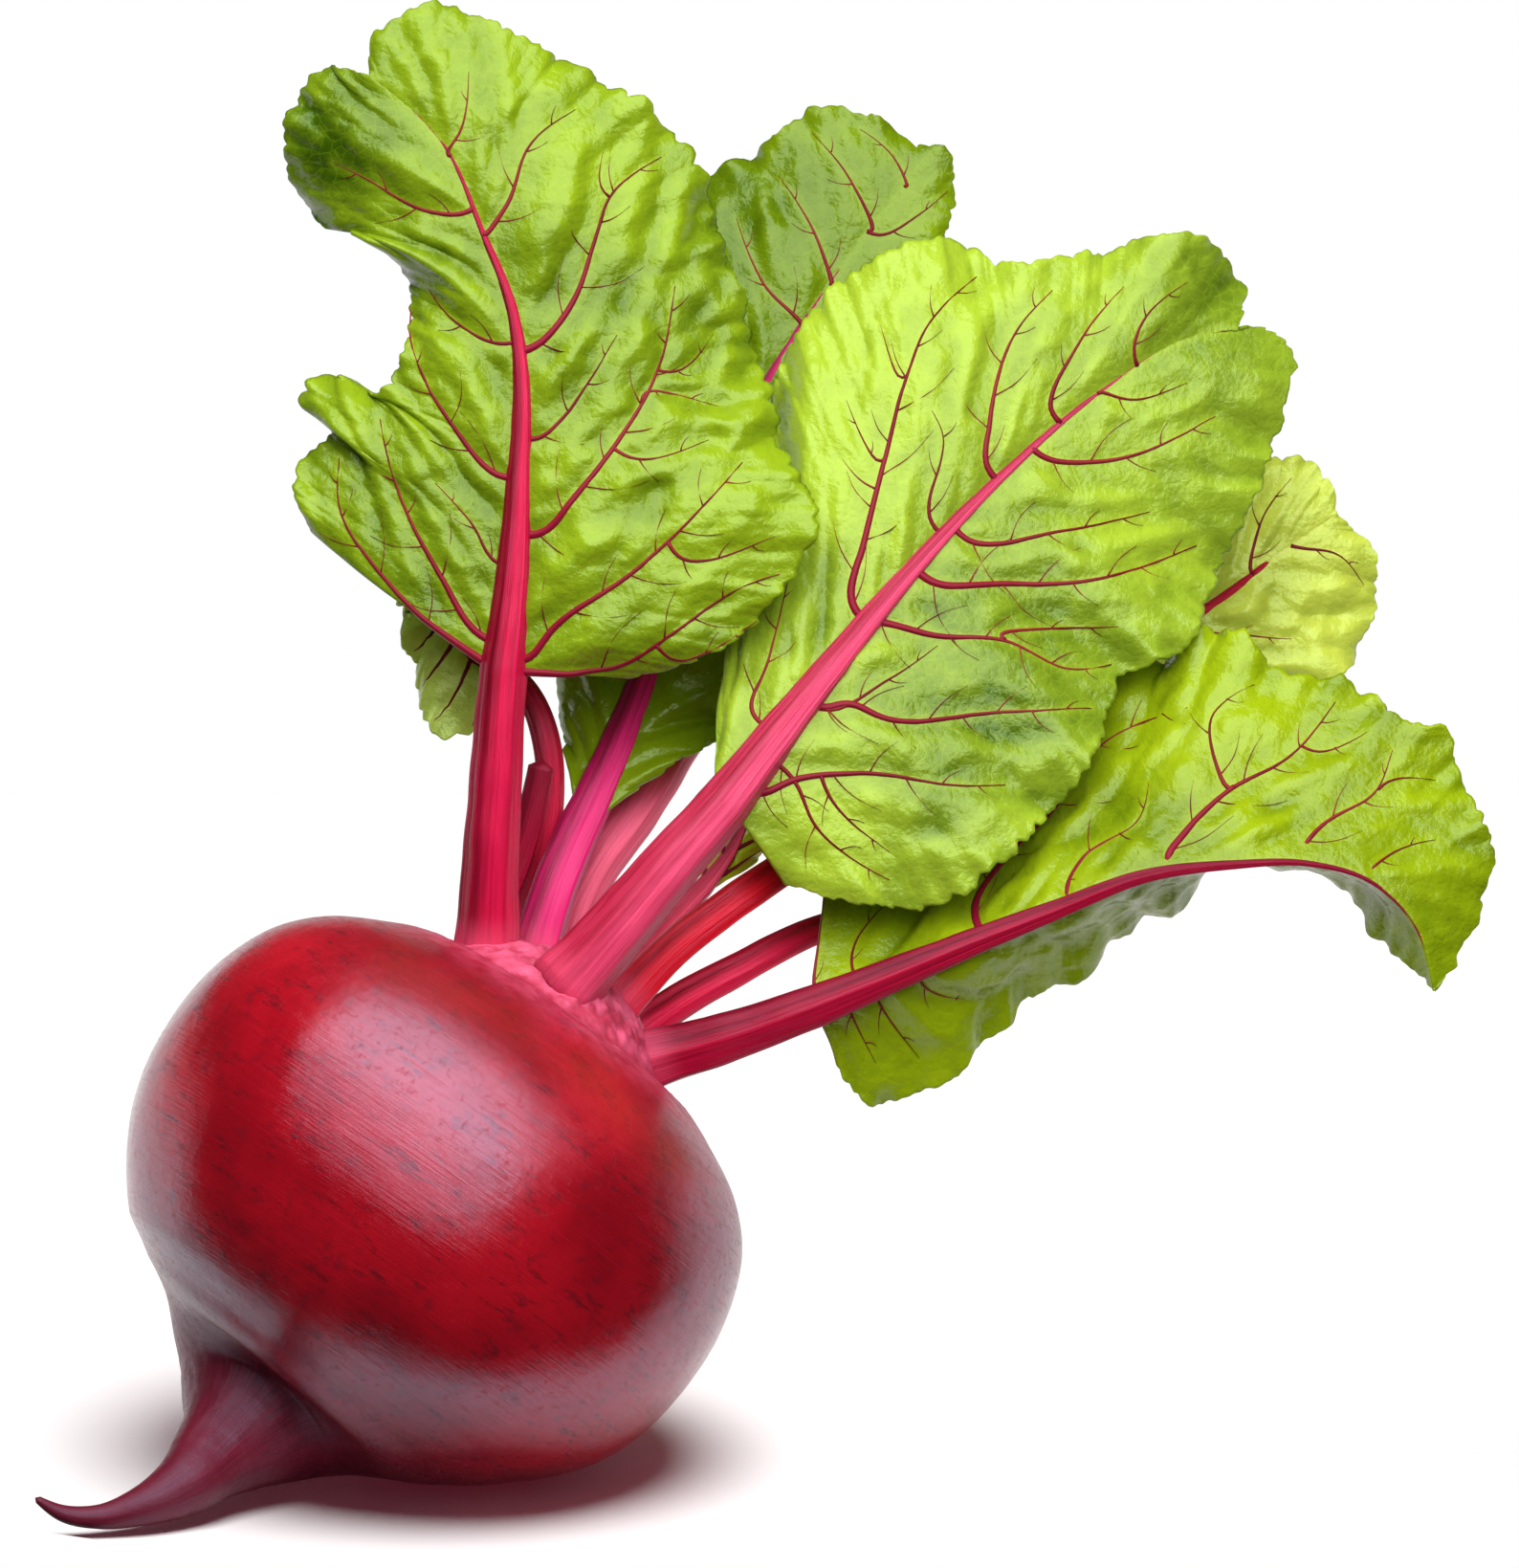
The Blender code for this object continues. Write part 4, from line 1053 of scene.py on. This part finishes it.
# Grains: how many to the metre, or how many to the millimetre round the piece and along it; detail;
# roughness; and from which value to which one they come into sight.
BLOTCHES = (38.0, 4.0, 0.55, 0.35, 0.68)
CORK = (300.0, 4.0, 0.55, 0.35, 0.65)
DOTS = (900.0, 3.0, 0.7, 0.52, 0.70)
SCUFFS = ((0.10, 1.6), 5.0, 0.75, 0.50, 0.70)
TAIL_LINES = ((0.9, 0.10), 5.0, 0.7, 0.36, 0.70)
MARKS = (  # a grain, how much of it shows, its colour
    ((420.0, 3.0, 0.55, 0.56, 0.72), 0.50, (0.105, 0.0035, 0.009)),
    (((0.08, 1.1), 5.0, 0.7, 0.52, 0.72), 0.45, (0.34, 0.004, 0.014)),
    (((0.13, 0.50), 6.0, 0.78, 0.53, 0.66), 0.70, (0.060, 0.003, 0.006)),
)
STALK_STREAKS = ((0.75, 0.035), 4.0, 0.65, 0.36, 0.64)
STALK_LINES = ((1.9, 0.02), 3.0, 0.6, 0.50, 0.72)
VEIN_BLOTCHES = (90.0, 2.0, 0.55, 0.40, 0.66)
BROAD_SHADES = ((0.045, 0.045), 2.0, 0.55, 0.34, 0.66)
FINE_SHADES = ((0.30, 0.30), 4.0, 0.6, 0.34, 0.68)
NET_SCALE = 0.62

# Relief drawn by the light alone: a grain without its range, then strength and height in metres.
ROOT_RELIEF = (
    ((700.0, 4.0, 0.55), 0.10, 0.0003),
    (((0.12, 2.2), 5.0, 0.75), 0.28, 0.0003),
    ((160.0, 3.0, 0.55), 0.12, 0.0006),
)
STALK_RELIEF = ((((1.6, 0.03), 4.0, 0.6), 0.35, 0.0008),)
LEAF_RELIEF = ((((0.45, 0.45), 4.0, 0.6), 0.45, 0.0008),)
NET_RELIEF = (0.25, 0.0005)

# Gloss: roughness, then how strong and which colour the mirror image is.
ROOT_GLOSS = (0.09, 0.95, (0.66, 0.68, 0.95))
STALK_GLOSS = (0.30, 0.36, (1.0, 0.45, 0.65))
VEIN_GLOSS = (0.42, 0.25, (1.0, 0.55, 0.55))
LEAF_GLOSS = (0.23, 0.78, (0.78, 1.0, 0.52))
FLOOR_GLOSS = (0.9, 0.1, (1.0, 1.0, 1.0))
ROOT_DULLS = (("crown", 0.26), ("tail", 0.28), ("shoulder", 0.22))  # a field, how much rougher
BLOTCH_DULLS, WORN_DULLS = 0.06, 0.14
WORN_LOSES, TAIL_LOSES = 0.42, 0.65  # of the strength of the mirror image
LIGHT_THROUGH = 0.28
ROOT_IOR = 1.6
# How strong the floor's painted red glow is.
FLOOR_PAINTED_BOUNCE_STRENGTH = 0.05
FLESH = (("Weight", 0.12), ("Radius", (1.0, 0.15, 0.15)), ("Scale", 0.0015))  # light inside a stalk

# What a stalk's red is made of: light streaks, and one side painted lighter as if lit (painted light),
# then lines, foot and tip.
STALK_DARKEST, STALK_LIGHTEST = 0.7, 1.25
STREAKS_LIGHTEN, SIDE_PAINTED_LIGHTER = 0.35, 0.65
PAINTED_LIT_SIDE = (0.22, 0.62)  # where across the stalk it begins, and where it is full
LINES_SHOW, LINES_DARKEN = 0.40, 0.35
FOOT_SHOWS, FOOT_HEIGHT = 0.45, (6.5, 2.0)
TIP_SHOWS, TIP_BEGINS = 0.60, (0.55, 1.0)

# What a blade's green is made of; its relief share is painted shade and painted highlight, darker in
# hollows and lighter on bulges.
BROAD_LIGHTENS, FINE_LIGHTENS, RELIEF_PAINTED_LIGHTER = 0.22, 0.18, 0.65
PALER = 1.25
NET_SHOWS, NET_WIDTH, NET_DEPTH = 0.14, 0.07, 0.25
PALE_BY_VEINS = 0.35
THROUGH_PALER = 1.3


def shaded(colour, factor):
    return tuple(factor * part for part in colour)


class Nodes:
    """The node tree of a material or the world, with short ways to add and join its nodes."""

    def __init__(self, owner):
        owner.use_nodes = True
        self.nodes = owner.node_tree.nodes
        self.links = owner.node_tree.links

    def put(self, socket, value):
        """Joins a socket to another node's output, or sets its value."""
        if isinstance(value, bpy.types.NodeSocket):
            self.links.new(value, socket)
        elif isinstance(value, tuple) and len(value) == 3 and socket.type == "RGBA":
            socket.default_value = (*value, 1.0)
        else:
            socket.default_value = value

    def noise(self, place, scale, detail, roughness):
        node = self.nodes.new("ShaderNodeTexNoise")
        self.put(node.inputs["Vector"], place)
        node.inputs["Scale"].default_value = scale
        node.inputs["Detail"].default_value = detail
        node.inputs["Roughness"].default_value = roughness
        return node.outputs["Fac"]

    def speckle(self, size, detail, roughness):
        """Noise in the solid, or drawn out over the flat places where the size has two parts."""
        if isinstance(size, tuple):
            return self.noise(self.flat_place((*size, 1.0)), 1.0, detail, roughness)
        return self.noise(self.solid_place(), size, detail, roughness)

    def grain(self, size, detail, roughness, low, high):
        return self.ramp(self.speckle(size, detail, roughness), low, high)

    def relief(self, layers):
        """Bumps laid one over another."""
        normal = None
        for speckle, strength, height in layers:
            normal = self.bump(self.speckle(*speckle), strength, height, normal)
        return normal

    def cells(self, place, scale):
        node = self.nodes.new("ShaderNodeTexVoronoi")
        node.feature = "DISTANCE_TO_EDGE"
        self.put(node.inputs["Vector"], place)
        node.inputs["Scale"].default_value = scale
        return node.outputs["Distance"]

    def ramp(self, value, low, high, first=0.0, last=1.0):
        """Maps low..high smoothly to first..last, held at both ends."""
        node = self.nodes.new("ShaderNodeMapRange")
        node.interpolation_type = "SMOOTHSTEP"
        self.put(node.inputs["Value"], value)
        for name, limit in (("From Min", low), ("From Max", high), ("To Min", first), ("To Max", last)):
            node.inputs[name].default_value = limit
        return node.outputs["Result"]

    def math(self, operation, a, b):
        node = self.nodes.new("ShaderNodeMath")
        node.operation = operation
        self.put(node.inputs[0], a)
        self.put(node.inputs[1], b)
        return node.outputs["Value"]

    def times(self, a, b):
        return self.math("MULTIPLY", a, b)

    def plus(self, a, b):
        return self.math("ADD", a, b)

    def mix(self, share, a, b):
        node = self.nodes.new("ShaderNodeMix")
        node.data_type = "RGBA"
        self.put(node.inputs["Factor"], share)
        colour_a, colour_b = [socket for socket in node.inputs if socket.type == "RGBA"]
        self.put(colour_a, a)
        self.put(colour_b, b)
        return next(socket for socket in node.outputs if socket.type == "RGBA")

    def field(self, name):
        node = self.nodes.new("ShaderNodeAttribute")
        node.attribute_name = name
        return node.outputs["Fac"]

    def flat_place(self, stretch=(1.0, 1.0, 1.0)):
        """The piece's flat places in millimetres, stretched."""
        place = self.nodes.new("ShaderNodeUVMap")
        place.uv_map = "places"
        scaled = self.nodes.new("ShaderNodeMapping")
        scaled.inputs["Scale"].default_value = stretch
        self.links.new(place.outputs["UV"], scaled.inputs["Vector"])
        return scaled.outputs["Vector"]

    def solid_place(self):
        """The point itself, in metres."""
        return self.nodes.new("ShaderNodeTexCoord").outputs["Object"]

    def bump(self, height, strength, distance, normal=None):
        node = self.nodes.new("ShaderNodeBump")
        node.inputs["Strength"].default_value = strength
        node.inputs["Distance"].default_value = distance
        self.put(node.inputs["Height"], height)
        if normal is not None:
            self.put(node.inputs["Normal"], normal)
        return node.outputs["Normal"]


class Shader(Nodes):
    """A material with its main shader."""

    def __init__(self, name):
        self.material = bpy.data.materials.new(name)
        super().__init__(self.material)
        self.principled = self.nodes["Principled BSDF"]
        self.output = self.nodes["Material Output"]

    def set(self, name, value):
        self.put(self.principled.inputs[name], value)

    def gloss(self, roughness, level, tint):
        """How rough the surface is, and how strong and which colour its mirror image is."""
        self.set("Roughness", roughness)
        self.set("Specular IOR Level", level)
        self.set("Specular Tint", tint)


def root_material():
    """Shiny crimson skin, mottled, scratched round its girth; pink crown and purple-brown tail."""
    s = Shader("root_look")
    blotch = s.grain(*BLOTCHES)
    red = s.mix(blotch, *ROOT_RED)
    for grain, share, colour in MARKS:
        red = s.mix(s.times(s.grain(*grain), share), red, colour)
    red = s.mix(s.field("tail"), red, s.mix(s.grain(*TAIL_LINES), *TAIL_RED))
    red = s.mix(s.field("crown"), red, s.mix(s.grain(*CORK), *CROWN_RED))
    s.set("Base Color", red)
    s.set("IOR", ROOT_IOR)
    worn = s.math("MAXIMUM", s.grain(*DOTS), s.grain(*SCUFFS))
    dull = s.plus(s.times(blotch, BLOTCH_DULLS), s.times(worn, WORN_DULLS))
    for field, more in ROOT_DULLS:
        dull = s.plus(dull, s.times(s.field(field), more))
    loss = s.math("MAXIMUM", s.times(worn, WORN_LOSES), s.times(s.field("tail"), TAIL_LOSES))
    roughness, level, tint = ROOT_GLOSS
    s.gloss(s.plus(dull, roughness), s.math("SUBTRACT", level, loss), tint)
    s.set("Normal", s.relief(ROOT_RELIEF))
    return s.material


def stalk_material(name, dark, light):
    """Fleshy red stalk with long streaks, one side painted lighter as if lit, paler at its foot and
    maroon towards its tip.
    """
    s = Shader("stalk_look_" + name)
    streaks = s.times(s.grain(*STALK_STREAKS), STREAKS_LIGHTEN)
    # Painted light: the stalk's right side is painted lighter and its left darker, as light falling on
    # it would make them.
    side = s.times(s.ramp(s.field("side"), *PAINTED_LIT_SIDE), SIDE_PAINTED_LIGHTER)
    red = s.mix(s.plus(streaks, side), shaded(dark, STALK_DARKEST), shaded(light, STALK_LIGHTEST))
    red = s.mix(s.times(s.grain(*STALK_LINES), LINES_SHOW), red, shaded(dark, LINES_DARKEN))
    red = s.mix(s.times(s.ramp(s.field("height"), *FOOT_HEIGHT), FOOT_SHOWS), red, FOOT_RED)
    red = s.mix(s.times(s.ramp(s.field("reach"), *TIP_BEGINS), TIP_SHOWS), red, RIB_TIP_RED)
    s.set("Base Color", red)
    s.gloss(*STALK_GLOSS)
    for what, amount in FLESH:
        s.set("Subsurface " + what, amount)
    s.set("Normal", s.relief(STALK_RELIEF))
    return s.material


def vein_material():
    """Dark red side veins with paler stretches."""
    s = Shader("vein_look")
    dark = s.mix(s.grain(*VEIN_BLOTCHES), *SMALL_VEIN_RED)
    s.set("Base Color", s.mix(s.field("redness"), dark, VEIN_RED))
    s.gloss(*VEIN_GLOSS)
    return s.material


def leaf_material(leaf):
    """Glossy thin green blade that lets light through, with a fine net of veins, painted shade in its
    hollows and painted highlight on its bulges.
    """
    s = Shader("blade_look_" + leaf.name)
    dark, light = leaf.green
    pale = shaded(light, PALER)
    broad = s.times(s.grain(*BROAD_SHADES), BROAD_LIGHTENS)
    fine = s.times(s.grain(*FINE_SHADES), FINE_LIGHTENS)
    # Painted shade and highlight: darker in the blade's hollows, lighter on its bulges.
    shade = s.plus(s.plus(broad, fine), s.times(s.field("painted_relief_shade"), RELIEF_PAINTED_LIGHTER))
    # Painted shade and highlight, mixed with the blade's own colour: its lighter and darker patches.
    shade = s.plus(shade, s.field("tone_and_painted_shade"))
    green = s.mix(shade, dark, light)
    net = s.cells(s.flat_place(), NET_SCALE)
    green = s.mix(s.times(s.ramp(net, NET_WIDTH, 0.0), NET_SHOWS), green, pale)
    green = s.mix(s.times(s.field("near_vein"), PALE_BY_VEINS), green, pale)
    s.set("Base Color", green)
    s.gloss(*LEAF_GLOSS)
    crease = s.relief(LEAF_RELIEF)
    s.set("Normal", s.bump(s.math("MINIMUM", net, NET_DEPTH), *NET_RELIEF, crease))
    through = s.nodes.new("ShaderNodeBsdfTranslucent")
    glow = tuple(min(1.0, part) for part in shaded(light, THROUGH_PALER))
    s.put(through.inputs["Color"], s.mix(0.5, green, glow))
    s.put(through.inputs["Normal"], crease)
    both = s.nodes.new("ShaderNodeMixShader")
    both.inputs["Fac"].default_value = LIGHT_THROUGH
    s.links.new(s.principled.outputs["BSDF"], both.inputs[1])
    s.links.new(through.outputs["BSDF"], both.inputs[2])
    s.links.new(both.outputs["Shader"], s.output.inputs["Surface"])
    return s.material


def add_floor():
    """A white ground that runs on out of sight, and ends short in front, where no view needs it; a faint
    red glow, painted light, tints its shade pink.
    """
    corners = [(x, y, FLOOR_LEVEL) for x, y in FLOOR_CORNERS]
    mesh = bpy.data.meshes.new("floor")
    mesh.from_pydata((np.array(corners) * MM).tolist(), [], [tuple(range(len(corners)))])
    s = Shader("floor_look")
    s.set("Base Color", FLOOR_WHITE)
    s.gloss(*FLOOR_GLOSS)
    # Painted light: a faint red glow that tints the floor's shade pink, standing in for red light thrown
    # off the root.
    s.set("Emission Color", FLOOR_PAINTED_BOUNCE)
    s.set("Emission Strength", FLOOR_PAINTED_BOUNCE_STRENGTH)
    mesh.materials.append(s.material)
    floor = put_in_scene("floor", mesh)
    return floor


def add_surroundings():
    """A white sweep low behind and beside the beetroot, and a dim room above and in front.

    The camera sees plain white; what the beetroot mirrors is the sweep and the dim room.
    """
    look = bpy.data.worlds.new("surroundings")
    bpy.context.scene.world = look
    w = Nodes(look)
    parts = w.nodes.new("ShaderNodeSeparateXYZ")
    w.put(parts.inputs["Vector"], w.nodes.new("ShaderNodeTexCoord").outputs["Generated"])
    behind = w.ramp(parts.outputs["Y"], *SWEEP_BEGINS, DIM, 1.0)
    low = w.ramp(parts.outputs["Z"], *SWEEP_ENDS, 1.0, DIM)
    seen = w.nodes.new("ShaderNodeLightPath").outputs["Is Camera Ray"]
    background = w.nodes["Background"]
    background.inputs["Color"].default_value = (1.0, 1.0, 1.0, 1.0)
    w.put(background.inputs["Strength"], w.math("MAXIMUM", w.math("MINIMUM", behind, low), seen))


def add_key(name, size):
    """An oval lamp of the long softbox in front and above."""
    light = bpy.data.lights.new(name, "AREA")
    light.shape = "ELLIPSE"
    light.size, light.size_y = size
    light.energy = KEY_RADIANCE * math.pi * math.pi * size[0] * size[1] / 4
    lamp = put_in_scene(name, light)
    way = unit(np.array(KEY_WAY))
    lamp.location = Vector(world(np.array(KEY_MIDDLE) + KEY_DISTANCE * way) * MM)
    back = unit(way @ LEANING)
    long_side = np.array(KEY_LONG_SIDE) @ LEANING
    long_side = unit(long_side - back * (long_side @ back))
    turn = np.stack([np.cross(long_side, back), long_side, back], axis=1)
    lamp.rotation_euler = Matrix(turn.tolist()).to_euler()
    return lamp


def only(name, thing, state):
    """A collection that keeps a light to one thing, or keeps it off that thing."""
    group = bpy.data.collections.new(name)
    group.objects.link(thing)
    group.collection_objects[0].light_linking.link_state = state
    return group


def add_light(floor, root):
    """A large softbox in front and above, and light from above for the ground alone."""
    keeps_off = only("key_keeps_off", floor, "EXCLUDE")
    for number, size in enumerate(KEY_SIZES):
        add_key(f"key_{number}", size).light_linking.receiver_collection = keeps_off
    above = bpy.data.lights.new("above", "SUN")
    above.energy = FLOOR_LIGHT
    above.angle = math.radians(FLOOR_LIGHT_WIDTH)
    lamp = put_in_scene("above", above)
    lamp.rotation_euler = [math.radians(turn) for turn in FLOOR_LIGHT_TURNS]
    lamp.light_linking.receiver_collection = only("above_lights", floor, "INCLUDE")
    lamp.light_linking.blocker_collection = only("above_is_blocked_by", root, "INCLUDE")


def add_camera():
    """The photograph's view."""
    camera = bpy.data.cameras.new("camera")
    camera.lens = LENS
    camera.sensor_width = SENSOR
    camera.sensor_fit = "AUTO"
    camera.clip_start, camera.clip_end = 0.1, 20.0
    holder = put_in_scene("camera", camera)
    right, up, back = LOOK_AT
    holder.location = Vector(world((right, up, back - CAMERA_AWAY)) * MM)
    way = Vector(world(LOOK_AT) * MM) - holder.location
    holder.rotation_euler = way.to_track_quat("-Z", "Y").to_euler()
    bpy.context.scene.camera = holder
    bpy.context.scene.view_settings.view_transform = "Standard"


def main():
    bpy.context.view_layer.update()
    root = make_root(root_material())
    veins = vein_material()
    make_stub(stalk_material("stub", *STUB_RED))
    for number, leaf in enumerate(LEAVES):
        make_stalk(leaf, number, stalk_material(leaf.name, *leaf.red))
        make_blade(leaf, number, leaf_material(leaf), veins)
    add_surroundings()
    add_light(add_floor(), root)
    add_camera()


main()
